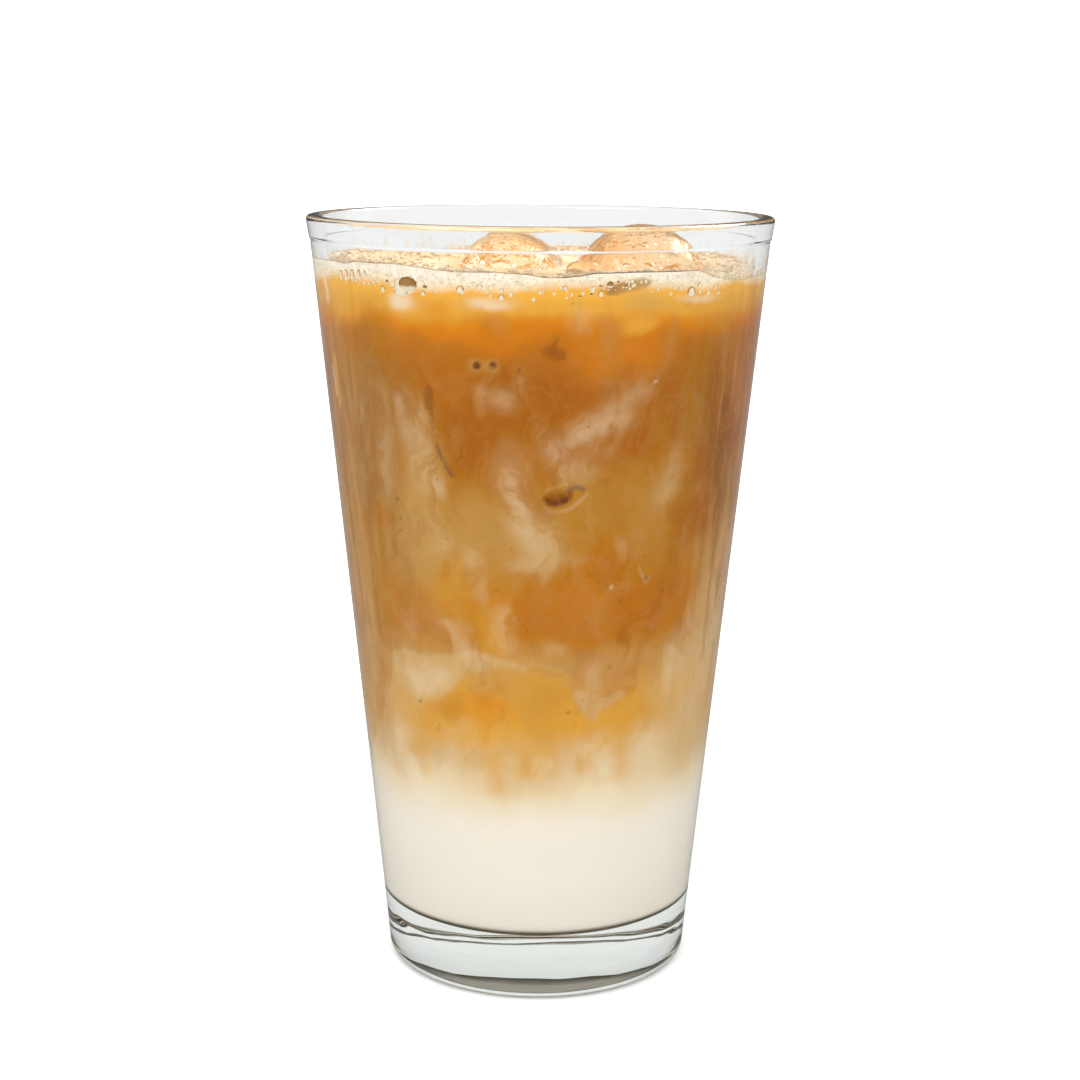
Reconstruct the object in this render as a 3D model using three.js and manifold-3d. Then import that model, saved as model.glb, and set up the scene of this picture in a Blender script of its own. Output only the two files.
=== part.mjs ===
// Iced latte in a straight-sided pint glass.
// Millimetres, +Z up. The origin is the centre of the ring that the glass stands on.
// The glass is filled from the bottom with milk, coffee and foam, and rounded ice floats in the top.

import * as THREE from 'three';
import { mergeVertices } from 'three/addons/utils/BufferGeometryUtils.js';
import Module from 'manifold-3d';

const wasm = await Module();
wasm.setup();

// Driving dimensions of the glass
const GLASS_HEIGHT = 146.8;
const BASE_RADIUS = 29.4;        // where the straight side would meet the table
const MOUTH_RADIUS = 44.15;      // where the straight side would meet the rim's plane
const LIP_ROUND = 0.8;           // rounding of both edges of the fire-polished lip
const LIP_FOOT = 142.4;          // the lip stands out from the wall from here up
const LIP_STEP = 0.2;
const LIP_WALL = 3;
const RIM_OUTER_RADIUS = 44.45;
const WALL_AT_MOUTH = 2.8;
const WALL_AT_FLOOR = 3.4;
const FLOOR_HEIGHT = 12.7;       // thick pressed base
const FLOOR_CROWN = 0.4;
const FLOOR_FILLET = 2.8;
const HEEL_RADIUS = 2.6;
const RING_WIDTH = 3.2;          // flat ring that the glass stands on
const PUNT_DEPTH = 1.0;          // shallow hollow under the base

// Driving dimensions of the drink
const CLEARANCE = 0.3;
const MILK_LEVEL = 42;
const FOAM_UNDERSIDE = 134.2;
const FOAM_LEVEL = 138.4;
const BOUNDARY_WAVE = 2.2;       // swing of the boundary between milk and coffee
const FOAM_WAVE = 0.5;
const FOAM_BANK = 1.4;           // foam clings higher on one side of the wall

// Facets
const ROUND_SEGMENTS = 64;
const BOUNDARY_STEPS = 4;         // rings across a layer's faces
const FOAM_STEPS = 8;
const LEAN = (MOUTH_RADIUS - BASE_RADIUS) / GLASS_HEIGHT;

// Ice: centre, half sizes, turn about Z in degrees, squareness and lumpiness
const ICE = {
  ice_cube_left: {
    centre: [-5.3, -13.5, 132.6], half: [10.2, 13.5, 11.7], turn: -14, tilt: 7, power: 2.5, lumps: 0.045,
  },
  ice_cube_right: {
    centre: [17.8, -17.2, 132.9], half: [11.4, 12.8, 12.5], turn: 17, tilt: -5, power: 2.7, lumps: 0.04,
  },
  ice_chip: {
    centre: [7.3, -34.6, 138.6], half: [3.4, 1.9, 2.0], turn: 9, tilt: -10, power: 2.2, lumps: 0.12,
  },
};
const ICE_SEGMENTS = 24;
const CHIP_SEGMENTS = 14;

const COLOURS = {
  glass: 0xe9efec,
  milk: 0xefe6d3,
  coffee: 0xc98232,
  foam: 0xf7e8cb,
  ice: 0xe8d3b4,
};

const outerRadius = (z) => BASE_RADIUS + LEAN * z;

function innerRadius(z) {
  const up = (z - FLOOR_HEIGHT) / (GLASS_HEIGHT - FLOOR_HEIGHT);
  return outerRadius(z) - THREE.MathUtils.lerp(WALL_AT_FLOOR, WALL_AT_MOUTH, up);
}

// Points along an arc in the profile's plane, angles in degrees from the outward direction
function arc(centreR, centreZ, radius, from, to, steps) {
  const points = [];
  for (let i = 0; i <= steps; i += 1) {
    const angle = THREE.MathUtils.degToRad(THREE.MathUtils.lerp(from, to, i / steps));
    points.push(new THREE.Vector2(centreR + radius * Math.cos(angle), centreZ + radius * Math.sin(angle)));
  }
  return points;
}

// Turns a profile into a closed mesh about Z
function turned(profile) {
  const geometry = new THREE.LatheGeometry(profile, ROUND_SEGMENTS);
  geometry.rotateX(Math.PI / 2);
  return geometry;
}

function toManifold(geometry) {
  const bare = geometry.clone();
  bare.deleteAttribute('normal');
  bare.deleteAttribute('uv');
  const merged = mergeVertices(bare, 1e-3);
  const triangles = [];
  for (let i = 0; i < merged.index.count; i += 3) {
    const [a, b, c] = [0, 1, 2].map((k) => merged.index.getX(i + k));
    if (a !== b && b !== c && c !== a) triangles.push(a, b, c);
  }
  return new wasm.Manifold(new wasm.Mesh({
    numProp: 3,
    vertProperties: new Float32Array(merged.attributes.position.array),
    triVerts: new Uint32Array(triangles),
  }));
}

function fromManifold(solid) {
  const mesh = solid.getMesh();
  const geometry = new THREE.BufferGeometry();
  geometry.setAttribute('position', new THREE.BufferAttribute(mesh.vertProperties, 3));
  geometry.setIndex(new THREE.BufferAttribute(mesh.triVerts, 1));
  geometry.computeVertexNormals();
  return geometry;
}

// The glass: heel, straight side, flared lip, inside wall, floor and the hollow underneath
function glassProfile() {
  const heelCentre = outerRadius(HEEL_RADIUS) - HEEL_RADIUS;
  const ringInner = heelCentre - RING_WIDTH;
  const lipOutside = RIM_OUTER_RADIUS - LIP_ROUND;
  const lipInside = RIM_OUTER_RADIUS - LIP_WALL + LIP_ROUND;
  const lipCentreZ = GLASS_HEIGHT - LIP_ROUND;
  const filletZ = FLOOR_HEIGHT + FLOOR_FILLET;
  const filletR = innerRadius(filletZ) - FLOOR_FILLET;
  return [
    new THREE.Vector2(0, PUNT_DEPTH),
    new THREE.Vector2(ringInner * 0.5, PUNT_DEPTH * 0.85),
    new THREE.Vector2(ringInner - 2.4, PUNT_DEPTH * 0.55),
    new THREE.Vector2(ringInner, 0),
    ...arc(heelCentre, HEEL_RADIUS, HEEL_RADIUS, -90, -4, 4),
    new THREE.Vector2(outerRadius(GLASS_HEIGHT / 3), GLASS_HEIGHT / 3),
    new THREE.Vector2(outerRadius(2 * GLASS_HEIGHT / 3), 2 * GLASS_HEIGHT / 3),
    new THREE.Vector2(outerRadius(LIP_FOOT), LIP_FOOT),
    new THREE.Vector2(outerRadius(LIP_FOOT) + LIP_STEP, LIP_FOOT + LIP_STEP),
    ...arc(lipOutside, lipCentreZ, LIP_ROUND, 0, 90, 3),
    ...arc(lipInside, lipCentreZ, LIP_ROUND, 90, 170, 3),
    new THREE.Vector2(outerRadius(LIP_FOOT) + LIP_STEP - LIP_WALL, LIP_FOOT + LIP_STEP),
    new THREE.Vector2(innerRadius(2 * GLASS_HEIGHT / 3), 2 * GLASS_HEIGHT / 3),
    new THREE.Vector2(innerRadius(GLASS_HEIGHT / 3), GLASS_HEIGHT / 3),
    ...arc(filletR, filletZ, FLOOR_FILLET, 0, -90, 5),
    new THREE.Vector2(filletR * 0.5, FLOOR_HEIGHT + FLOOR_CROWN * 0.8),
    new THREE.Vector2(0, FLOOR_HEIGHT + FLOOR_CROWN),
  ];
}

// Where milk and coffee meet: slow lobes, deeper on the front
function boundaryWave(x, y) {
  const angle = Math.atan2(y, x);
  const reach = Math.hypot(x, y) / MOUTH_RADIUS;
  return BOUNDARY_WAVE * reach * (Math.sin(3 * angle + 0.6) + 0.5 * Math.sin(5 * angle - 1.1));
}

// The foam's top: small swells, and a bank that clings to the wall on the front left
function foamWave(x, y) {
  const angle = Math.atan2(y, x);
  const reach = Math.hypot(x, y) / MOUTH_RADIUS;
  const swell = Math.sin(0.21 * x + 1.3) * Math.cos(0.17 * y - 0.4) + 0.5 * Math.sin(0.4 * y + 0.3 * x);
  const bank = Math.cos(angle + 2.35) ** 3 * reach ** 4;
  return FOAM_WAVE * swell + FOAM_BANK * bank;
}

// A layer of the drink between two wavy levels, clear of the glass all round.
// The profile runs out along the underside, up the side and back along the top.
function layer(sideProfile, undersideWave, topWave, rings) {
  const first = sideProfile[0];
  const last = sideProfile[sideProfile.length - 1];
  const out = [];
  const back = [];
  for (let i = 0; i < rings; i += 1) {
    const part = i / rings;
    out.push(new THREE.Vector2(first.x * part, first.y));
    back.unshift(new THREE.Vector2(last.x * part, last.y));
  }
  const profile = [...out, ...sideProfile, ...back];
  const geometry = turned(profile);
  const position = geometry.attributes.position;
  const topStart = profile.length - rings - 1;
  for (let i = 0; i < position.count; i += 1) {
    const step = i % profile.length;
    const wave = step <= rings ? undersideWave : topWave;
    if (step <= rings || step >= topStart) {
      const level = position.getZ(i);
      const lift = wave(position.getX(i), position.getY(i));
      const spread = 1 + LEAN * lift / innerRadius(level);
      position.setXYZ(i, position.getX(i) * spread, position.getY(i) * spread, level + lift);
    }
  }
  return geometry;
}

const flat = () => 0;
const drinkPoint = (z) => new THREE.Vector2(innerRadius(z) - CLEARANCE, z);

// The milk lies on the floor's fillet
function milkGeometry() {
  const filletZ = FLOOR_HEIGHT + FLOOR_FILLET;
  const filletR = innerRadius(filletZ) - FLOOR_FILLET;
  const side = [
    ...arc(filletR, filletZ, FLOOR_FILLET - CLEARANCE, -90, 0, 5),
    drinkPoint(MILK_LEVEL - CLEARANCE / 2),
  ];
  const crown = (x, y) => FLOOR_CROWN * Math.max(0, 1 - Math.hypot(x, y) / filletR);
  return layer(side, crown, boundaryWave, BOUNDARY_STEPS);
}

const coffeeGeometry = () => layer(
  [MILK_LEVEL + CLEARANCE / 2, 65, 90, 115, FOAM_UNDERSIDE - CLEARANCE / 2].map(drinkPoint),
  boundaryWave,
  flat,
  BOUNDARY_STEPS,
);

const foamGeometry = () => layer(
  [FOAM_UNDERSIDE + CLEARANCE / 2, (FOAM_UNDERSIDE + FOAM_LEVEL) / 2, FOAM_LEVEL].map(drinkPoint),
  flat,
  foamWave,
  FOAM_STEPS,
);

// A melted ice cube: a sphere squared off towards its box, then softly dented.
// Grown by a margin, the same shape cuts its place in the drink.
function iceGeometry({ centre, half, turn, tilt, power, lumps }, segments, margin) {
  const geometry = new THREE.SphereGeometry(1, segments, Math.round(segments * 0.6));
  const position = geometry.attributes.position;
  const point = new THREE.Vector3();
  for (let i = 0; i < position.count; i += 1) {
    point.fromBufferAttribute(position, i);
    const squared = Math.pow(
      Math.abs(point.x) ** power + Math.abs(point.y) ** power + Math.abs(point.z) ** power,
      -1 / power,
    );
    const dents = Math.sin(3.1 * point.x + 2 * point.z + centre[0]) * Math.cos(2.7 * point.y - point.z);
    const reach = squared * (1 + lumps * dents);
    point.set(
      point.x * reach * (half[0] + margin),
      point.y * reach * (half[1] + margin),
      point.z * reach * (half[2] + margin),
    );
    position.setXYZ(i, point.x, point.y, point.z);
  }
  geometry.rotateY(THREE.MathUtils.degToRad(tilt));
  geometry.rotateZ(THREE.MathUtils.degToRad(turn));
  geometry.translate(...centre);
  return geometry;
}

const iceSegments = (name) => (name === 'ice_chip' ? CHIP_SEGMENTS : ICE_SEGMENTS);

// The drink is cut round the ice, which keeps a thin gap to it
function cutRoundIce(geometry) {
  let solid = toManifold(geometry);
  for (const [name, shape] of Object.entries(ICE)) {
    solid = solid.subtract(toManifold(iceGeometry(shape, iceSegments(name), CLEARANCE)));
  }
  return fromManifold(solid);
}

function mesh(name, geometry, colour, roughness) {
  const material = new THREE.MeshStandardMaterial({ color: colour, roughness, metalness: 0 });
  const piece = new THREE.Mesh(geometry, material);
  piece.name = name;
  return piece;
}

const drink = new THREE.Group();
drink.add(mesh('glass', fromManifold(toManifold(turned(glassProfile()))), COLOURS.glass, 0.04));
drink.add(mesh('milk_layer', fromManifold(toManifold(milkGeometry())), COLOURS.milk, 0.35));
drink.add(mesh('coffee_layer', cutRoundIce(coffeeGeometry()), COLOURS.coffee, 0.3));
drink.add(mesh('foam_layer', cutRoundIce(foamGeometry()), COLOURS.foam, 0.6));
for (const [name, shape] of Object.entries(ICE)) {
  const solid = toManifold(iceGeometry(shape, iceSegments(name), 0));
  drink.add(mesh(name, fromManifold(solid), COLOURS.ice, 0.1));
}

export default drink;
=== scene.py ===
"""Iced latte in a pint glass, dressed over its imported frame."""

import math

import bmesh
import bpy
import numpy as np
from mathutils import Matrix, Vector, noise


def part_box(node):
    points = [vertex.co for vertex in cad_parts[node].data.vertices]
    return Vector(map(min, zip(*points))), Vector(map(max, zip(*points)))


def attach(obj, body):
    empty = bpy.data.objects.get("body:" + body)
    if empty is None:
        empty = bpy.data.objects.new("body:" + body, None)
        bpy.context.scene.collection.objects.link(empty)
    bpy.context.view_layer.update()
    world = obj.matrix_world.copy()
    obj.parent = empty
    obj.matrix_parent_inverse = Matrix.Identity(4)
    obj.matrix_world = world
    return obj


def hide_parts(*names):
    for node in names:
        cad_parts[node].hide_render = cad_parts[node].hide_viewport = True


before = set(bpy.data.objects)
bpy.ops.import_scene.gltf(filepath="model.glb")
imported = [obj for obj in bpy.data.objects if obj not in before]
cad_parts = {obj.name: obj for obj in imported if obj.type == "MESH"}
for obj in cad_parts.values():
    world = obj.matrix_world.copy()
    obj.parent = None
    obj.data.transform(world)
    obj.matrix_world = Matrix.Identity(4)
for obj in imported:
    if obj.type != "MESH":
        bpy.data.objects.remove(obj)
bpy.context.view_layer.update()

# The view the glass was photographed from.
# A short telephoto a little above the rim, looking down on it, with the glass leaning a trace to the right.
MM = 0.001
LENS = 69.7
CAMERA_DISTANCE = 402.1 * MM
CAMERA_HEIGHT = 166.2 * MM
CAMERA_PITCH = math.radians(11.61)
CAMERA_ROLL = math.radians(0.36)
CAMERA_YAW = math.radians(-0.04)

camera_data = bpy.data.cameras.new("camera")
camera_data.lens = LENS
camera_data.sensor_width = 36
camera = bpy.data.objects.new("camera", camera_data)
camera.matrix_world = (
    Matrix.Translation((0, -CAMERA_DISTANCE, CAMERA_HEIGHT))
    @ Matrix.Rotation(CAMERA_YAW, 4, "Z")
    @ Matrix.Rotation(math.pi / 2 - CAMERA_PITCH, 4, "X")
    @ Matrix.Rotation(CAMERA_ROLL, 4, "Z")
)
bpy.context.scene.collection.objects.link(camera)
bpy.context.scene.camera = camera
bpy.context.scene.view_settings.view_transform = "Standard"


# The studio: a white tent round the glass, with the key light high on the left and a dim ceiling for reflections.
# What shines through the glass sees the plain white backdrop. Reflections see a dimmer tent with two soft boxes.
def wire(tree, kind, inputs=(), **settings):
    """A node of a tree with its settings, and its inputs set to values or joined to other nodes' outputs."""
    node = tree.nodes.new(kind)
    for name, value in settings.items():
        setattr(node, name, value)
    for key, value in dict(inputs).items():
        if isinstance(value, bpy.types.NodeSocket):
            tree.links.new(value, node.inputs[key])
        else:
            node.inputs[key].default_value = value
    return node


def sums(tree, operation, a, b=0.0, c=0.0):
    """The output of one Math node."""
    return wire(tree, "ShaderNodeMath", {0: a, 1: b, 2: c}, operation=operation).outputs[0]


def ramped(tree, value, low, high, to_low=0.0, to_high=1.0, smooth=True):
    """A value brought from one range to another, with soft ends."""
    node = wire(
        tree, "ShaderNodeMapRange",
        {0: value, 1: low, 2: high, 3: to_low, 4: to_high},
        interpolation_type="SMOOTHSTEP" if smooth else "LINEAR",
    )
    return node.outputs[0]


BACKDROP = 1.0
KEY_DIRECTION = (-0.14, -0.8, 0.58)
KEY_LIGHT = 1.0
FILL_LIGHT = 0.54
TOP_LIGHT = 1.25
CEILING_THROUGH_GLASS = 0.45
TENT_REFLECTION = 0.13
BOX_REFLECTION = 0.5
WINDOW_REFLECTION = 9.0
BOX_AZIMUTH = math.radians(118)

world = bpy.data.worlds.new("studio")
bpy.context.scene.world = world
world.use_nodes = True
studio = world.node_tree
studio.nodes.clear()
direction = wire(studio, "ShaderNodeTexCoord").outputs["Generated"]
towards = wire(studio, "ShaderNodeSeparateXYZ", {0: direction}).outputs
to_key = wire(studio, "ShaderNodeVectorMath", {0: direction, 1: KEY_DIRECTION}, operation="DOT_PRODUCT")
key = ramped(studio, to_key.outputs["Value"], 0.2, 1.0, 0.0, KEY_LIGHT)
top = ramped(studio, towards["Z"], 0.1, 0.9, FILL_LIGHT, FILL_LIGHT + TOP_LIGHT)
lit = sums(studio, "ADD", key, top)
azimuth = sums(
    studio, "ARCTAN2", sums(studio, "ABSOLUTE", towards["X"]), sums(studio, "MULTIPLY", towards["Y"], -1),
)
off_box = sums(studio, "ABSOLUTE", sums(studio, "SUBTRACT", azimuth, BOX_AZIMUTH))
box = ramped(studio, off_box, math.radians(9), math.radians(15), BOX_REFLECTION, 0.0)
ceiling = ramped(studio, towards["Z"], 0.3, 0.7, 0.0, BOX_REFLECTION)
mirrored = sums(studio, "ADD", sums(studio, "ADD", box, ceiling), TENT_REFLECTION)
pane = sums(studio, "MULTIPLY", ramped(studio, towards["Z"], 0.45, 0.5), ramped(studio, towards["Z"], 0.74, 0.79, 1.0, 0.0))
turned = sums(studio, "ARCTAN2", towards["X"], sums(studio, "MULTIPLY", towards["Y"], -1))
for middle in (-0.7, 2.2):
    off_pane = sums(studio, "ABSOLUTE", sums(studio, "SUBTRACT", turned, middle))
    window = sums(studio, "MULTIPLY", pane, ramped(studio, off_pane, 0.42, 0.5, WINDOW_REFLECTION, 0.0))
    mirrored = sums(studio, "ADD", mirrored, window)
ray = wire(studio, "ShaderNodeLightPath").outputs
unstrayed = sums(studio, "LESS_THAN", ray["Diffuse Depth"], 0.5)
clear_path = sums(studio, "MAXIMUM", ray["Is Camera Ray"], ray["Is Transmission Ray"])
clear_path = sums(studio, "MULTIPLY", clear_path, unstrayed)
mirror_path = sums(studio, "MULTIPLY", ray["Is Reflection Ray"], unstrayed)


def blended(share, there, here):
    """One light where the share is 1, the other where it is 0."""
    return sums(studio, "MULTIPLY_ADD", share, sums(studio, "SUBTRACT", there, here), here)


backdrop = ramped(studio, towards["Z"], 0.3, 0.8, BACKDROP, CEILING_THROUGH_GLASS)
light = blended(mirror_path, mirrored, lit)
light = blended(clear_path, backdrop, light)
background = wire(studio, "ShaderNodeBackground", {"Color": (1, 1, 1, 1), "Strength": light})
wire(studio, "ShaderNodeOutputWorld", {"Surface": background.outputs[0]})

FLOOR_RADIUS = 5.0
FLOOR_WHITE = (0.93, 0.93, 0.93, 1)
FLOOR_MIRRORED = (0.2, 0.2, 0.2, 1)
FLOOR_THROUGH_GLASS = 0.96
floor_mesh = bpy.data.meshes.new("floor")
shape = bmesh.new()
bmesh.ops.create_circle(shape, cap_ends=True, radius=FLOOR_RADIUS, segments=96)
shape.to_mesh(floor_mesh)
shape.free()
floor = bpy.data.objects.new("floor", floor_mesh)
bpy.context.scene.collection.objects.link(floor)
floor_finish = bpy.data.materials.new("floor_white")
floor_finish.use_nodes = True
card = floor_finish.node_tree
ray = wire(card, "ShaderNodeLightPath").outputs
unstrayed = sums(card, "LESS_THAN", ray["Diffuse Depth"], 0.5)
through_glass = sums(card, "MULTIPLY", unstrayed, sums(card, "GREATER_THAN", ray["Transmission Depth"], 0.5))
mirror_path = sums(card, "MULTIPLY", ray["Is Reflection Ray"], unstrayed)
paint = wire(card, "ShaderNodeMix", {0: mirror_path, 6: FLOOR_WHITE, 7: FLOOR_MIRRORED}, data_type="RGBA")
card_shader = card.nodes["Principled BSDF"]
card.links.new(paint.outputs[2], card_shader.inputs["Base Color"])
card_shader.inputs["Roughness"].default_value = 0.9
card_shader.inputs["Specular IOR Level"].default_value = 0.0
glowing = wire(card, "ShaderNodeEmission", {"Color": (1, 1, 1, 1), "Strength": FLOOR_THROUGH_GLASS})
seen_card = wire(card, "ShaderNodeMixShader", {0: through_glass, 1: card_shader.outputs[0], 2: glowing.outputs[0]})
card.links.new(seen_card.outputs[0], card.nodes["Material Output"].inputs["Surface"])
floor_finish.cycles.emission_sampling = "NONE"
floor_mesh.materials.append(floor_finish)


# The glass: a pressed, straight-sided pint glass with a thick base.
# It is one piece of soda-lime glass, its rim rounded in the flame to a small bead.
GLASS_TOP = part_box("glass")[1].z / MM
RIM_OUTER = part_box("glass")[1].x / MM
BASE_RADIUS = 29.4
MOUTH_RADIUS = 44.15
LEAN = (MOUTH_RADIUS - BASE_RADIUS) / GLASS_TOP
FLOOR_HEIGHT = 12.7
FLOOR_CROWN = 0.4
FLOOR_FILLET = 2.8
HEEL = 2.6
LIP_ROUND = 0.8
LIP_FOOT = 142.4
LIP_STEP = 0.2
LIP_WALL = 3.0
RING_WIDTH = 3.2
PUNT = 1.0


def outer_radius(z):
    return BASE_RADIUS + LEAN * z


def inner_radius(z):
    wall = 3.4 - 0.6 * (z - FLOOR_HEIGHT) / (GLASS_TOP - FLOOR_HEIGHT)
    return outer_radius(z) - wall


def arc(centre_r, centre_z, radius, start, end, steps):
    """Profile points on an arc, angles in degrees from the outward direction."""
    angles = np.radians(np.linspace(start, end, steps + 1))
    return [(centre_r + radius * math.cos(a), centre_z + radius * math.sin(a)) for a in angles]


def straight(start, end, steps):
    """Profile points between two places, without the first."""
    return [tuple(np.array(start) + (np.array(end) - start) * i / steps) for i in range(1, steps + 1)]


def turning_tree():
    """Geometry nodes that turn a profile about Z: a grid, one column for each step round."""
    tree = bpy.data.node_groups.new("turned_on_axis", "GeometryNodeTree")
    tree.interface.new_socket("Profile", in_out="INPUT", socket_type="NodeSocketGeometry")
    tree.interface.new_socket("Steps Round", in_out="INPUT", socket_type="NodeSocketInt")
    tree.interface.new_socket("Finer At Front", in_out="INPUT", socket_type="NodeSocketFloat")
    tree.interface.new_socket("Finish", in_out="INPUT", socket_type="NodeSocketMaterial")
    tree.interface.new_socket("Turned", in_out="OUTPUT", socket_type="NodeSocketGeometry")
    given = tree.nodes.new("NodeGroupInput").outputs
    rows = wire(tree, "GeometryNodeAttributeDomainSize", {"Geometry": given["Profile"]}).outputs["Point Count"]
    columns = sums(tree, "ADD", given["Steps Round"], 1.0)
    grid = wire(tree, "GeometryNodeMeshGrid", {"Vertices X": columns, "Vertices Y": rows}).outputs["Mesh"]
    index = wire(tree, "GeometryNodeInputIndex").outputs[0]
    column = sums(tree, "FLOOR", sums(tree, "DIVIDE", sums(tree, "ADD", index, 0.5), rows))
    row = sums(tree, "SUBTRACT", index, sums(tree, "MULTIPLY", column, rows))
    place = wire(tree, "GeometryNodeInputPosition").outputs[0]
    at_row = wire(
        tree, "GeometryNodeSampleIndex",
        {"Geometry": given["Profile"], "Value": place, "Index": row},
        data_type="FLOAT_VECTOR",
    ).outputs[0]
    along = wire(tree, "ShaderNodeSeparateXYZ", {0: at_row}).outputs
    even = sums(tree, "MULTIPLY", sums(tree, "DIVIDE", column, given["Steps Round"]), math.tau)
    pulled = sums(tree, "MULTIPLY", sums(tree, "SINE", even), given["Finer At Front"])
    turn = sums(tree, "SUBTRACT", even, pulled)
    spot = wire(tree, "ShaderNodeCombineXYZ", {
        0: sums(tree, "MULTIPLY", along["X"], sums(tree, "SINE", turn)),
        1: sums(tree, "MULTIPLY", along["X"], sums(tree, "MULTIPLY", sums(tree, "COSINE", turn), -1.0)),
        2: along["Z"],
    }).outputs[0]
    moved = wire(tree, "GeometryNodeSetPosition", {"Geometry": grid, "Position": spot}).outputs[0]
    closed = wire(tree, "GeometryNodeMergeByDistance", {"Geometry": moved, "Distance": 1e-6}).outputs[0]
    smooth = wire(tree, "GeometryNodeSetShadeSmooth", {"Geometry": closed}).outputs[0]
    real = wire(tree, "GeometryNodeRealizeInstances", {"Geometry": smooth}).outputs[0]
    done = wire(tree, "GeometryNodeSetMaterial", {"Geometry": real, "Material": given["Finish"]}).outputs[0]
    wire(tree, "NodeGroupOutput", {"Turned": done})
    return tree


TURNING = turning_tree()


def grown(piece, tree, **values):
    """Runs a geometry-nodes tree on a piece and keeps the result as its plain mesh."""
    modifier = piece.modifiers.new("grow", "NODES")
    modifier.node_group = tree
    named = {s.name: s.identifier for s in tree.interface.items_tree if s.in_out == "INPUT"}
    for name, value in values.items():
        modifier[named[name.replace("_", " ")]] = value
    seen_by = bpy.context.evaluated_depsgraph_get()
    mesh = bpy.data.meshes.new_from_object(piece.evaluated_get(seen_by))
    mesh.name = piece.name
    piece.modifiers.clear()
    piece.data = mesh
    return finished(piece, values["Finish"])


def finished(piece, finish):
    """Gives a piece one finish all over."""
    mesh = piece.data
    mesh.materials.clear()
    mesh.materials.append(finish)
    mesh.polygons.foreach_set("material_index", [0] * len(mesh.polygons))
    mesh.polygons.foreach_set("use_smooth", [True] * len(mesh.polygons))
    return piece


def new_piece(name, verts=(), edges=(), faces=()):
    mesh = bpy.data.meshes.new(name)
    mesh.from_pydata([tuple(v) for v in verts], list(edges), list(faces))
    piece = bpy.data.objects.new(name, mesh)
    bpy.context.scene.collection.objects.link(piece)
    return piece


def turned_piece(name, profile, finish, steps_round, finer=0.0):
    """A closed piece turned from profile points (radius, height) in millimetres."""
    points = [(r * MM, 0, z * MM) for r, z in profile]
    piece = new_piece(name, points, [(i, i + 1) for i in range(len(points) - 1)])
    return grown(piece, TURNING, Steps_Round=steps_round, Finer_At_Front=finer, Finish=finish)


def glass_finish():
    """Clear glass with a trace of green in its depth and the faint ripple of pressed glass."""
    finish = bpy.data.materials.new("clear_pressed_glass")
    finish.use_nodes = True
    tree = finish.node_tree
    shader = tree.nodes["Principled BSDF"]
    shader.inputs["Base Color"].default_value = (0.985, 0.995, 0.99, 1)
    shader.inputs["Transmission Weight"].default_value = 1.0
    shader.inputs["IOR"].default_value = 1.5
    here = wire(tree, "ShaderNodeTexCoord").outputs["Object"]
    stretch = wire(tree, "ShaderNodeMapping", {"Vector": here, "Scale": (1, 1, 3.5)}).outputs[0]
    ripple = wire(tree, "ShaderNodeTexNoise", {"Vector": stretch, "Scale": 38, "Detail": 2}).outputs[0]
    height = wire(tree, "ShaderNodeSeparateXYZ", {0: here}).outputs["Z"]
    depth = ramped(tree, height, 0.009, 0.016, 0.5, 0.12)
    bump = wire(tree, "ShaderNodeBump", {"Height": ripple, "Strength": depth, "Distance": 0.0004}).outputs[0]
    tree.links.new(bump, shader.inputs["Normal"])
    smears = wire(tree, "ShaderNodeTexNoise", {"Vector": here, "Scale": 55, "Detail": 4}).outputs[0]
    tree.links.new(ramped(tree, smears, 0.45, 0.75, 0.0, 0.035), shader.inputs["Roughness"])
    tint = wire(tree, "ShaderNodeVolumeAbsorption", {"Color": (0.70, 0.75, 0.68, 1), "Density": 9.0})
    tree.links.new(tint.outputs[0], tree.nodes["Material Output"].inputs["Volume"])
    return finish


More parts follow.
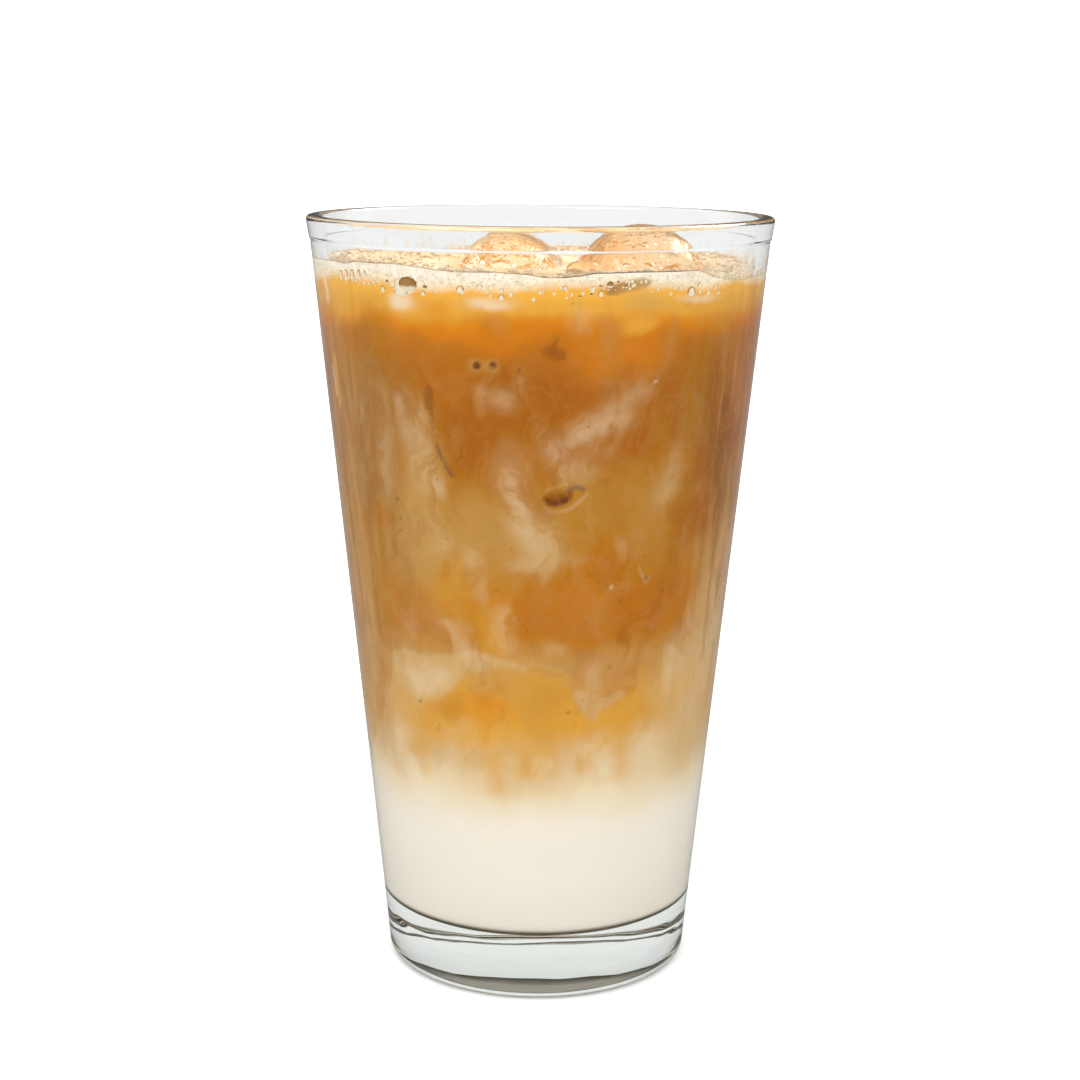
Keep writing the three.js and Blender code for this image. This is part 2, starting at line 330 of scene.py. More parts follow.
def glass_profile():
    heel_r = outer_radius(HEEL) - HEEL
    ring_inner = heel_r - RING_WIDTH
    lip_foot = (outer_radius(LIP_FOOT), LIP_FOOT)
    lip_start = (lip_foot[0] + LIP_STEP, LIP_FOOT + LIP_STEP)
    lip_z = GLASS_TOP - LIP_ROUND
    lip = [
        *arc(RIM_OUTER - LIP_ROUND, lip_z, LIP_ROUND, -8, 90, 12),
        *arc(RIM_OUTER - LIP_WALL + LIP_ROUND, lip_z, LIP_ROUND, 90, 171, 12),
    ]
    lip_inside = (lip_start[0] - LIP_WALL, lip_start[1])
    fillet_z = FLOOR_HEIGHT + FLOOR_FILLET
    fillet_r = inner_radius(fillet_z) - FLOOR_FILLET
    return [
        (0, PUNT), (5, PUNT * 0.98), (ring_inner * 0.5, PUNT * 0.88), (ring_inner * 0.75, PUNT * 0.68),
        (ring_inner - 1.8, PUNT * 0.36), (ring_inner - 0.8, PUNT * 0.1), (ring_inner, 0),
        (heel_r - 1.2, 0),
        *arc(heel_r, HEEL, HEEL, -90, -4, 12),
        *straight((outer_radius(HEEL + 0.3), HEEL + 0.3), (outer_radius(LIP_FOOT - 0.35), LIP_FOOT - 0.35), 24),
        (outer_radius(LIP_FOOT - 0.1), LIP_FOOT - 0.1), (lip_foot[0] + 0.04, LIP_FOOT + 0.03),
        (lip_start[0] - 0.05, lip_start[1] - 0.06), (lip_start[0] + 0.01, lip_start[1] + 0.08),
        (lip_start[0] + 0.05, lip_start[1] + 0.3),
        *straight((lip_start[0] + 0.05, lip_start[1] + 0.3), (lip[0][0] - 0.01, lip[0][1] - 0.08), 5),
        *lip,
        (lip[-1][0] - 0.01, lip[-1][1] - 0.08),
        *straight((lip[-1][0] - 0.01, lip[-1][1] - 0.08), lip_inside, 6)[:-1],
        (lip_inside[0] + 0.05, lip_inside[1] + 0.3), lip_inside,
        (inner_radius(LIP_FOOT - 0.3), LIP_FOOT - 0.3),
        *straight((inner_radius(LIP_FOOT - 0.3), LIP_FOOT - 0.3), (inner_radius(fillet_z + 1), fillet_z + 1), 24),
        *arc(fillet_r, fillet_z, FLOOR_FILLET, 0, -90, 12),
        (fillet_r * 0.5, FLOOR_HEIGHT + FLOOR_CROWN * 0.8), (0, FLOOR_HEIGHT + FLOOR_CROWN),
    ]


glass = turned_piece("pint_glass", glass_profile(), glass_finish(), 240)
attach(glass, "root")
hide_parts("glass")


# The ice: two rounded cubes melting in the top of the drink, and a chip by the front wall.
# Clear wet ice, with trapped air bubbles and a cloudy heart.
ICE = {
    "ice_cube_left": dict(
        centre=(-5.3, -13.5, 132.6), half=(10.2, 13.5, 11.7), turn=-14, tilt=7, power=2.5, lumps=0.045,
    ),
    "ice_cube_right": dict(
        centre=(17.8, -17.2, 132.9), half=(11.4, 12.8, 12.5), turn=17, tilt=-5, power=2.7, lumps=0.04,
    ),
    "ice_chip": dict(
        centre=(7.3, -34.6, 138.6), half=(3.4, 1.9, 2.0), turn=9, tilt=-10, power=2.2, lumps=0.12,
    ),
}


# Where coffee has stained the ice: direction from the middle of the piece, how wide, and how strong.
STAINS = {
    "ice_cube_left": (((0.5, -0.3, 0.8), 0.45, 1.4), ((0.8, -0.5, 0.3), 0.35, 1.2)),
    "ice_cube_right": (((-0.65, -0.4, 0.6), 0.4, 1.6), ((0.1, -0.1, 1), 0.3, 1.0), ((0.7, -0.1, 0.7), 0.28, 0.8)),
    "ice_chip": (((0, -0.4, 0.8), 1.6, 1.0),),
}


def ice_block(name, centre, half, turn, tilt, power, lumps, margin=0.0, level=5):
    """A sphere squared off towards its box, with soft dents and melt pits. The margin grows or shrinks it."""
    shape = bmesh.new()
    bmesh.ops.create_icosphere(shape, subdivisions=level, radius=1)
    stand = Matrix.Rotation(math.radians(turn), 3, "Z") @ Matrix.Rotation(math.radians(tilt), 3, "Y")
    for vertex in shape.verts:
        p = vertex.co.normalized()
        squared = (abs(p.x) ** power + abs(p.y) ** power + abs(p.z) ** power) ** (-1 / power)
        dents = math.sin(3.1 * p.x + 2 * p.z + centre[0]) * math.cos(2.7 * p.y - p.z)
        pits = 0.012 * noise.fractal(p * 3.5 + Vector(centre), 1.0, 2.0, 4)
        reach = squared * (1 + lumps * dents + pits)
        grown_half = Vector([h + margin for h in half])
        vertex.co = (stand @ (p * reach * grown_half) + Vector(centre)) * MM
    mesh = bpy.data.meshes.new(name)
    shape.to_mesh(mesh)
    shape.free()
    mesh.polygons.foreach_set("use_smooth", [True] * len(mesh.polygons))
    piece = bpy.data.objects.new(name, mesh)
    bpy.context.scene.collection.objects.link(piece)
    return piece


def ice_finish():
    """Wet ice: clear and glossy, faintly cloudy, with shallow melt ripples."""
    finish = bpy.data.materials.new("wet_ice")
    finish.use_nodes = True
    tree = finish.node_tree
    shader = tree.nodes["Principled BSDF"]
    here = wire(tree, "ShaderNodeTexCoord").outputs["Object"]
    stain = wire(tree, "ShaderNodeAttribute", attribute_name="stain").outputs["Fac"]
    bands = wire(tree, "ShaderNodeTexNoise", {
        "Vector": here, "Scale": 240, "Detail": 4, "Distortion": 2.0,
    }).outputs[0]
    soaked = sums(tree, "MULTIPLY", stain, ramped(tree, bands, 0.3, 0.6, 0.5, 1.1))
    tint = wire(tree, "ShaderNodeMix", {
        0: ramped(tree, soaked, 0.12, 0.6), 6: (0.995, 0.99, 0.98, 1), 7: (0.98, 0.8, 0.5, 1),
    }, data_type="RGBA").outputs[2]
    tint = wire(tree, "ShaderNodeMix", {
        0: ramped(tree, soaked, 0.45, 1.0), 6: tint, 7: (0.8, 0.5, 0.22, 1),
    }, data_type="RGBA").outputs[2]
    tree.links.new(tint, shader.inputs["Base Color"])
    shader.inputs["Transmission Weight"].default_value = 1.0
    shader.inputs["IOR"].default_value = 1.31
    melt = wire(tree, "ShaderNodeTexNoise", {"Vector": here, "Scale": 170, "Detail": 3}).outputs[0]
    bump = wire(tree, "ShaderNodeBump", {"Height": melt, "Strength": 0.9, "Distance": 0.0016}).outputs[0]
    tree.links.new(bump, shader.inputs["Normal"])
    frost = wire(tree, "ShaderNodeTexNoise", {"Vector": here, "Scale": 90, "Detail": 3}).outputs[0]
    tree.links.new(ramped(tree, frost, 0.4, 0.7, 0.01, 0.16), shader.inputs["Roughness"])
    return finish


ICE_FINISH = ice_finish()
for name, size in ICE.items():
    cube = ice_block(name + "_clear", **size)
    stained = []
    for vertex in cube.data.vertices:
        way = (vertex.co / MM - Vector(size["centre"])).normalized()
        lobes = [
            strength * math.exp(-((way - Vector(to).normalized()).length / wide) ** 2)
            for to, wide, strength in STAINS[name]
        ]
        stained.append(max(lobes))
    cube.data.attributes.new("stain", "FLOAT", "POINT").data.foreach_set("value", stained)
    cube.data.materials.append(ICE_FINISH)
    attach(cube, "root")
    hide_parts(name)


# The drink: milk below and coffee above, marbled where they run into each other.
# One body of liquid fills the glass from its floor to the foam and wets the wall.
MILK_TOP = 42.0
FOAM_UNDERSIDE = 134.2
FOAM_LEVEL = 138.4
WETTING = 0.25
INTO_ICE = 0.12
MM_PER_DEGREE = 0.6


def srgb(red, green, blue):
    """A colour as a screen shows it, 0 to 255, in the linear light that shaders use."""
    shown = [c / 255 for c in (red, green, blue)]
    return (*[c / 12.92 if c <= 0.04045 else ((c + 0.055) / 1.055) ** 2.4 for c in shown], 1)


TONES = {
    "milk": (250, 243, 231), "cream": (245, 229, 196), "froth": (254, 241, 214), "foam": (255, 249, 236),
    "latte": (224, 192, 140), "tan": (208, 167, 100), "fawn": (196, 139, 54), "salmon": (205, 150, 86),
    "amber": (198, 124, 12), "toffee": (182, 110, 10), "rust": (150, 92, 14), "gold": (227, 169, 70),
    "honey": (244, 184, 78), "orange": (226, 138, 12), "smoke": (170, 132, 80), "bark": (104, 58, 14),
    "plum": (122, 94, 78), "olive": (84, 74, 44), "umber": (156, 112, 64),
}
# Down the glass: the tone of the drink by height, before it is stirred.
DEPTHS = (
    (13, "milk"), (34, "milk"), (41.5, "cream"), (48, "latte"), (55, "gold"), (60, "gold"), (67, "tan"),
    (73, "amber"), (80, "amber"), (88, "fawn"), (99, "fawn"), (107, "toffee"), (121, "toffee"),
    (127, "amber"), (129.4, "orange"), (132.2, "honey"), (135.4, "honey"), (136.8, "froth"), (137.8, "foam"),
    (142, "foam"),
)
# Soft clouds: tone, strength, angle and height of the middle, half width in degrees, half height.
CLOUDS = (
    ("smoke", 0.5, -50, 116, 11, 11), ("smoke", 0.6, -52, 96, 12, 13), ("tan", 0.7, -36, 101, 7, 14),
    ("tan", 0.65, -38, 88, 10, 9), ("toffee", 0.8, -17, 108, 9, 8), ("amber", 0.6, -25, 121, 10, 7),
    ("salmon", 0.8, -5, 104, 5, 7), ("tan", 0.75, -1, 91, 7, 7), ("tan", 0.6, -15, 92, 12, 8),
    ("toffee", 0.8, 22, 107, 12, 7), ("fawn", 0.6, 22, 98, 13, 5), ("orange", 0.8, 20, 125, 14, 4),
    ("orange", 0.65, -8, 129, 16, 2.6), ("rust", 0.7, 52, 115, 11, 14), ("rust", 0.85, 62, 100, 12, 13),
    ("fawn", 0.45, 36, 104, 4, 12), ("salmon", 0.5, 35, 127, 3, 4), ("toffee", 0.7, 74, 118, 14, 16),
    ("amber", 0.9, 11, 82, 11, 6.5), ("amber", 0.8, 20, 88, 10, 4), ("orange", 0.3, 12, 80, 7, 4),
    ("amber", 0.75, 2, 77, 7, 3), ("tan", 0.6, -28, 87, 9, 6), ("gold", 0.6, -25, 80, 9, 7),
    ("amber", 0.4, -28, 84, 3, 2), ("gold", 0.7, -12, 73, 6, 7), ("salmon", 0.7, -38, 74, 9, 5),
    ("fawn", 0.8, -57, 76, 9, 17), ("fawn", 0.6, -60, 58, 7, 12), ("amber", 0.6, -51, 94, 4, 2.5),
    ("toffee", 0.7, 48, 92, 9, 5), ("salmon", 0.6, 54, 87, 5, 3), ("tan", 0.75, 60, 78, 8, 8),
    ("latte", 0.75, 62, 64, 12, 11), ("latte", 0.8, 58, 52, 12, 8), ("salmon", 0.55, 22, 66, 9, 6),
    ("orange", 0.5, -16, 58, 9, 3.5), ("gold", 0.7, -2, 62, 10, 5), ("fawn", 0.5, 2, 58, 8, 5),
    ("amber", 0.45, -30, 58, 5, 2.4), ("gold", 0.5, -38, 53, 9, 4), ("gold", 0.6, 24, 52, 8, 4),
    ("latte", 0.5, -26, 49, 7, 3), ("gold", 0.55, -44, 48, 6, 2.5), ("fawn", 0.5, 40, 66, 5, 8),
    ("gold", 0.5, 0, 48.5, 7, 3.2), ("latte", 0.5, -52, 44, 6, 4), ("gold", 0.35, 16, 46.5, 6, 2.5),
    # The smoke cloud at 18 degrees and 135.6 mm is a painted shadow beside the right cube's submerged dome.
    ("honey", 0.85, 24, 129.3, 5.5, 1.8), ("tan", 0.5, 26, 133.6, 6.5, 2.2), ("smoke", 0.4, 18, 135.6, 4.5, 0.8),
    ("honey", 0.7, -60, 131.5, 4, 3.5), ("froth", 0.85, -36, 133.4, 4.6, 1.5), ("froth", 0.7, -13, 133.6, 6, 1.1),
    ("froth", 0.6, 42, 134.2, 6, 0.8), ("orange", 0.5, -27, 132.4, 3.4, 1.6), ("honey", 0.5, 62, 134, 8, 1.3),
    ("fawn", 0.35, -46, 128, 8, 4), ("tan", 0.3, 9, 131.5, 1.2, 3), ("tan", 0.5, -66, 84, 10, 12),
    ("latte", 0.5, -48, 58, 12, 9), ("cream", 0.4, -52, 49, 12, 5), ("latte", 0.4, 46, 58, 10, 9),
    ("gold", 0.55, -6, 46.6, 12, 2.8), ("latte", 0.5, -8, 42.6, 13, 2.6), ("cream", 0.5, 38, 47, 12, 4),
    ("honey", 0.5, 10, 57, 12, 4), ("honey", 0.4, -14, 54, 12, 4), ("latte", 0.75, 78, 72, 18, 16),
    ("latte", 0.6, -70, 64, 16, 18), ("tan", 0.5, -67, 112, 12, 16), ("honey", 0.6, -57, 130, 7, 2.6),
    ("honey", 0.5, -31, 131.4, 5, 1.6), ("latte", 0.45, 62, 52, 16, 9),
)
# Sheets with a crisp edge: tone, strength, softness of the edge, and the outline.
SHEETS = (
    ("latte", 0.9, 0.5, (
        (-50, 60.6), (-45, 59.4), (-41.5, 57.8), (-38, 58.9), (-33, 59.4), (-28, 61.3), (-25, 63.4),
        (-21.5, 66), (-18.5, 65.2), (-15, 66.2), (-12, 67.4), (-8, 67.3), (-3, 66.2), (-3, 66.9),
        (-8, 68.5), (-14, 69), (-20, 69.5), (-28, 68), (-36, 67.5), (-46, 68.5), (-53, 66),
    )),
    ("cream", 0.55, 1.2, ((-46, 63.6), (-42, 59.5), (-36, 60.4), (-30, 62), (-27, 65), (-36, 66))),
    ("salmon", 0.75, 0.7, (
        (11, 61), (15, 57.4), (17.5, 56.2), (20.5, 58), (24, 58.9), (29, 60.6), (33, 62.2), (33, 66),
        (24, 68), (15, 70), (9, 67),
    )),
    ("latte", 0.75, 0.45, (
        (11, 61), (13, 58.8), (15.5, 57.2), (17.3, 55.9), (19, 57), (20.5, 58), (24, 58.9), (29, 60.6),
        (28, 61.6), (22, 60.6), (19, 60.6), (16, 61.4), (12, 62.4),
    )),
    ("latte", 0.6, 0.8, ((1, 70), (3, 69.4), (7, 69.6), (8, 71), (5, 72), (2, 71.6))),
    ("toffee", 0.75, 1.1, (
        (54, 99), (44, 95), (40, 88), (37, 80), (33, 72), (29, 65), (31, 64.5), (36, 71), (42, 78),
        (46, 85), (51, 89), (60, 92),
    )),
    ("fawn", 0.4, 0.5, ((-80, 92), (-50.5, 93), (-50, 76), (-51, 66), (-60, 55), (-80, 40))),
)
# Wisps and threads: tone, strength, width, and the line they follow.
WISPS = (
    ("latte", 0.34, 0.7, ((3, 109), (10, 111.3), (20, 114.8), (30, 119.6), (35, 123))),
    ("latte", 0.25, 0.3, ((12, 111.6), (20, 114.2), (28, 118), (33, 121.6))),
    ("latte", 0.5, 0.8, ((-20, 53), (-19, 47), (-20, 40))), ("cream", 0.5, 0.7, ((-30, 52), (-31, 46), (-30, 41))),
    ("latte", 0.5, 0.6, ((9, 52), (10, 46), (9.6, 40))), ("cream", 0.5, 0.8, ((21, 55), (22, 48), (21, 43))),
    ("gold", 0.5, 0.8, ((30, 54), (29, 48), (29.6, 43))), ("gold", 0.5, 0.7, ((-13, 50), (-14, 45), (-13.6, 40.6))),
    ("gold", 0.4, 0.6, ((-40, 52), (-41, 46), (-40, 42))), ("latte", 0.5, 0.8, ((42, 56), (41, 49), (41.6, 43))),
    ("latte", 0.6, 0.6, ((4, 109.2), (12, 110.6), (19, 112.2), (27, 113.6))),
    ("latte", 0.5, 0.5, ((1.5, 113), (2.6, 109.5), (3.3, 106), (4, 103.5))),
    ("cream", 0.4, 0.3, ((4, 110), (6, 108), (8, 105), (8.5, 102.5))),
    ("latte", 0.4, 0.5, ((6, 107), (10, 108.5), (16, 107.6), (22, 109))),
    ("latte", 0.35, 0.4, ((2, 104), (6, 104.4), (11, 104.8), (15, 103.2), (17, 101))),
    ("latte", 0.35, 0.35, ((3, 103), (6, 102.8), (10, 102.8), (14, 101.6))),
    ("latte", 0.6, 0.7, ((-10, 111), (-8.5, 105), (-6, 99), (-3, 93), (-0.5, 87))),
    ("cream", 0.35, 0.4, ((-6, 99), (-4, 94.5), (-1, 90), (0.5, 85))),
    ("latte", 0.4, 0.8, ((1, 97), (2, 92), (3, 87), (2, 83))),
    ("latte", 0.55, 0.6, ((-37, 107), (-34, 103), (-29.5, 100.4), (-25, 99))),
    ("cream", 0.35, 0.35, ((-36, 119), (-39, 114), (-38, 109), (-35, 105))),
    ("latte", 0.45, 0.5, ((-33, 118), (-34, 112), (-32, 106), (-28, 102))),
    ("latte", 0.35, 0.6, ((-47, 120), (-46, 112), (-47, 103), (-45, 95))),
    ("latte", 0.35, 0.5, ((-56, 118), (-55, 108), (-56, 99))),
    ("smoke", 0.35, 0.8, ((-60, 122), (-61, 108), (-60, 95))),
    ("salmon", 0.5, 0.5, ((-15, 129), (-12, 130.2), (-9, 129.4), (-6, 130.4))),
    ("salmon", 0.45, 0.4, ((12, 128.5), (14.5, 130.5), (17, 128.6), (19, 124.5))),
    ("salmon", 0.5, 0.5, ((17.5, 132), (18.6, 129), (18, 125.6), (19.5, 122))),
    ("latte", 0.3, 0.5, ((9.5, 134), (9.6, 130.5), (9, 127.6))),
    ("cream", 0.5, 0.9, ((-13.4, 118.4), (-10.6, 117.2), (-8.8, 118.6))),
    ("latte", 0.35, 0.3, ((-16.4, 120), (-15, 117.4), (-10.6, 116), (-6.6, 119), (-5.6, 123))),
    ("latte", 0.3, 0.5, ((40, 109), (38.5, 103), (36, 98), (31, 95))),
    ("cream", 0.25, 0.3, ((42, 106), (40, 101), (37, 97.4))),
    ("fawn", 0.5, 0.7, ((44, 130), (43.4, 118), (42.5, 104), (42, 95))),
    ("fawn", 0.5, 0.9, ((50, 132), (49.4, 118), (48.4, 102))),
    ("fawn", 0.4, 0.6, ((57, 131), (56, 118), (55.6, 105))),
    ("bark", 0.4, 0.3, ((61, 119), (60, 115), (59, 111))),
    ("rust", 0.45, 0.6, ((53, 128), (53, 118), (52, 106))),
    ("salmon", 0.4, 0.5, ((24, 93), (28, 91.6), (33, 93), (37, 91))),
    ("latte", 0.3, 0.3, ((22, 92), (26, 88.6), (29.5, 87))),
    ("latte", 0.35, 0.35, ((-10, 88), (-6, 86.6), (0, 86.4), (8, 87.4), (14, 86.4))),
    ("latte", 0.4, 0.45, ((-47, 77.6), (-43, 74), (-41, 70.6))),
    ("latte", 0.4, 0.35, ((-33, 69), (-31, 73), (-28, 74), (-26, 70.6), (-22, 67))),
    ("cream", 0.35, 0.4, ((-24.5, 76), (-22.6, 71), (-20, 66.6))),
    ("latte", 0.4, 0.7, ((-9, 80), (-10, 74), (-9.6, 69))),
    ("latte", 0.35, 0.4, ((-21, 90), (-18, 84), (-17, 78))),
    ("latte", 0.3, 0.5, ((-31, 98), (-30, 92), (-27, 86))),
    ("gold", 0.35, 0.4, ((20, 54.4), (23, 52), (26, 50), (28.6, 52))),
    ("cream", 0.4, 0.5, ((12, 53), (16, 51), (20, 52.6))),
    ("latte", 0.4, 0.7, ((53, 77), (52, 69), (51, 60))),
    ("cream", 0.4, 0.6, ((47, 74), (46, 66), (46, 58))),
    ("latte", 0.25, 0.5, ((17, 69), (17.6, 64), (17.4, 60))),
    ("toffee", 0.35, 0.3, ((27, 60.4), (29.5, 61.4), (32, 60.8))),
    ("latte", 0.5, 0.6, ((-9.6, 50), (-9, 47), (-9.6, 44))),
    ("cream", 0.5, 0.6, ((3, 50), (2, 47), (3, 43.6))),
    ("gold", 0.4, 0.6, ((-48, 50), (-44, 48.4), (-41, 50))),
    ("latte", 0.4, 0.5, ((-33, 55), (-29, 53), (-24, 54.4), (-21, 51))),
)
# Marks that lie right under the wall and show sharply: tone, strength, width, and line.
MARKS = (
    ("smoke", 0.85, 1.0, ((16.5, 135.4), (20, 136.3), (24, 136.9), (27.4, 137.2))),
    ("umber", 0.5, 0.5, ((17, 135.8), (20, 136.7), (23.6, 137.3))),
    ("rust", 0.8, 0.9, ((-29.6, 118.4), (-30, 116), (-29.6, 114.2))),
    ("rust", 0.6, 0.4, ((-29.7, 115), (-29.2, 112.6), (-28.8, 110.6))),
    ("plum", 0.8, 0.34, ((-28.4, 108), (-26.8, 105.4), (-25.2, 103.4), (-23.6, 102.2))),
    ("rust", 0.65, 1.25, ((1.2, 125.2), (3.4, 125.2), (6, 124.2))),
    ("rust", 0.45, 0.35, ((3.2, 125.6), (3.8, 126.8), (4.6, 127.8))),
    ("latte", 0.4, 0.4, ((1.4, 97.4), (4, 96.4), (8, 96.8), (11, 98.2), (13.4, 99.8))),
    ("latte", 0.3, 0.35, ((1.6, 100.2), (4.6, 101), (8, 101.6))),
    ("plum", 0.8, 0.42, ((7.6, 100.2), (10.2, 100.9), (12.8, 100.3))),
    ("rust", 0.9, 1.25, ((1.6, 98.9), (4, 98.6), (6.4, 98.9), (8.8, 99.8))),
    ("bark", 0.85, 0.6, ((1.8, 98.7), (3.8, 98), (6, 98.2), (8, 99))),
    ("latte", 0.4, 0.3, ((30, 85.4), (31.6, 83.6), (33, 82.2), (34.6, 83.6))),
    # The honey mark at the left edge, near -69 degrees, with the froth mark beside it, is a painted highlight: an
    # orange streak with a white core.
    ("honey", 0.7, 0.9, ((-69, 122), (-68, 117), (-68.6, 112))),
    ("froth", 0.7, 0.4, ((-71, 119.6), (-70.4, 116.6), (-70.8, 114))),
    ("froth", 0.6, 0.7, ((-71, 137), (-69, 134), (-69, 131.4))),
)
# Small holes and bubbles just under the wall: tone, strength, angle, height, radius.
SPOTS = (
    ("tan", 0.45, -16, 122.6, 1.2), ("tan", 0.45, -11.8, 122.7, 1.1),
    ("bark", 0.9, -16, 122.6, 0.55), ("bark", 0.9, -11.8, 122.7, 0.5), ("bark", 0.6, -5.2, 122, 0.25),
    ("plum", 0.6, 33, 83, 0.4), ("rust", 0.5, 25, 79, 0.4), ("bark", 0.6, -43, 97, 0.3),
    ("bark", 0.5, -42.6, 93.4, 0.28), ("bark", 0.6, -43, 91, 0.25), ("rust", 0.5, -12, 81.6, 0.3),
    ("cream", 0.6, 21.6, 82, 0.35), ("cream", 0.6, 31, 119.4, 0.3), ("rust", 0.6, 9.6, 58.2, 0.28),
    ("bark", 0.6, -40.6, 58.2, 0.3), ("rust", 0.5, 22.6, 66.6, 0.35), ("rust", 0.5, -57, 71, 0.35),
)


def stirred(places, scale, amount, seed):
    """How far the liquid at each place has drifted, as noise of the given scale and reach in millimetres."""
    shift = Vector((seed, seed * 0.7, 0))
    return amount * np.array([noise.noise_vector(Vector(p) / scale + shift) for p in places])


def angle_gap(angle, middle):
    return (angle - middle + 180) % 360 - 180


def smooth_line(points, steps=7):
    """A soft curve through given points, in millimetres along the wall and up."""
    ends = [points[0], *points, points[-1]]
    line = []
    for before, a, b, after in zip(ends, ends[1:], ends[2:], ends[3:]):
        before, a, b, after = (np.array(p, float) for p in (before, a, b, after))
        for t in np.arange(steps) / steps:
            line.append(0.5 * (
                2 * a + (b - before) * t + (2 * before - 5 * a + 4 * b - after) * t ** 2
                + (3 * a - before - 3 * b + after) * t ** 3
            ))
    line.append(np.array(points[-1], float))
    return np.array(line)


def line_distance(along, height, line):
    """How far every place is from a line of points, minus on one side, and how far along it is, 0 to 1."""
    nearest = np.full(len(along), 1e9)
    share = np.zeros(len(along))
    side = np.ones(len(along))
    for i, (a, b) in enumerate(zip(line[:-1], line[1:])):
        run = b - a
        t = ((along - a[0]) * run[0] + (height - a[1]) * run[1]) / max(run @ run, 1e-9)
        t = np.clip(t, 0, 1)
        gap = np.hypot(along - a[0] - t * run[0], height - a[1] - t * run[1])
        closer = gap < nearest
        nearest[closer] = gap[closer]
        share[closer] = (i + t[closer]) / (len(line) - 1)
        side[closer] = np.sign(run[0] * (height - a[1]) - run[1] * (along - a[0]))[closer]
    return nearest * side, share


def inside_outline(along, height, outline):
    crossed = np.zeros(len(along), bool)
    for a, b in zip(outline, np.roll(outline, -1, axis=0)):
        spans = (a[1] > height) != (b[1] > height)
        rise = b[1] - a[1] if b[1] != a[1] else 1e-9
        crossed ^= spans & (along < a[0] + (height - a[1]) / rise * (b[0] - a[0]))
    return crossed


def tinted(colours, weight, tone):
    colours += (np.array(srgb(*TONES[tone])[:3]) - colours) * weight[:, None]


def near_line(along, height, line, reach):
    low, high = line.min(axis=0) - reach, line.max(axis=0) + reach
    return (along > low[0]) & (along < high[0]) & (height > low[1]) & (height < high[1])


WISP_SPREAD = 0.45


def paint_side(colours, wisps, angle, still_angle, height, still_height, plain_angle, plain_height, fray, turn):
    """Lays the clouds, sheets, wisps, marks and spots of one side of the glass over the drink's tones."""
    here = angle_gap(angle, turn)
    for tone, strength, a, z, wide, tall in CLOUDS:
        apart = ((here - a) / wide) ** 2 + ((height - z) / tall) ** 2
        tinted(colours, strength * np.exp(-apart ** 1.4), tone)
    along = angle_gap(still_angle, turn) * MM_PER_DEGREE
    for tone, strength, soft, outline in SHEETS:
        outline = np.array([(a * MM_PER_DEGREE, z) for a, z in outline])
        near = near_line(along, still_height, outline, 4 * soft)
        places = along[near], still_height[near]
        gap = abs(line_distance(*places, np.vstack([outline, outline[:1]]))[0])
        depth = np.where(inside_outline(*places, outline), gap, -gap)
        weight = np.zeros(len(colours))
        weight[near] = strength / (1 + np.exp(-2.5 * depth / soft)) * (0.75 + 0.25 * fray[near])
        tinted(colours, weight, tone)
    for tone, strength, width, points in WISPS:
        line = smooth_line([(a * MM_PER_DEGREE, z) for a, z in points])
        near = near_line(along, still_height, line, 4 * width)
        gap, share = line_distance(along[near], still_height[near], line)
        fade = np.clip(3 * np.minimum(share, 1 - share) + 0.12, 0, 1)
        reach = np.hypot(*(line[-1] - line[0]))
        veil = np.exp(-(gap / ((width + WISP_SPREAD) * (0.9 + 1.2 * fade))) ** 2)
        weight = np.zeros(len(colours))
        weight[near] = strength * fade * veil
        tinted(colours, (0.4 if tone in ("cream", "latte") else 0.8) * weight, tone)
        if tone in ("cream", "latte"):
            wisps[near] = np.maximum(wisps[near], weight[near])
    along = angle_gap(plain_angle, turn) * MM_PER_DEGREE
    for tone, strength, width, points in MARKS:
        line = smooth_line([(a * MM_PER_DEGREE, z) for a, z in points])
        near = near_line(along, plain_height, line, 3 * width)
        gap, share = line_distance(along[near], plain_height[near], line)
        fade = np.clip(4 * np.minimum(share, 1 - share) + 0.35, 0, 1)
        weight = np.zeros(len(colours))
        weight[near] = strength * np.exp(-(gap / (width * fade)) ** 4)
        tinted(colours, weight, tone)
    for tone, strength, a, z, radius in SPOTS:
        gap = np.hypot(along - a * MM_PER_DEGREE, plain_height - z)
        tinted(colours, strength * np.clip(2.4 - 1.6 * gap / radius, 0, 1), tone)


VEIL = 0.018
# The drink glows a little round the ice and along the froth band against the wall: painted light, not a lamp.
POCKET_PAINTED_GLOW = 0.2
FROTH_PAINTED_GLOW = 0.15
DRINK_LIGHT = 0.97


def wetted(wanted):
    """The colour that liquid needs behind the glass, which lays a thin veil of reflection over it."""
    return np.clip((np.asarray(wanted) - VEIL) / DRINK_LIGHT, 0.0005, 0.98)


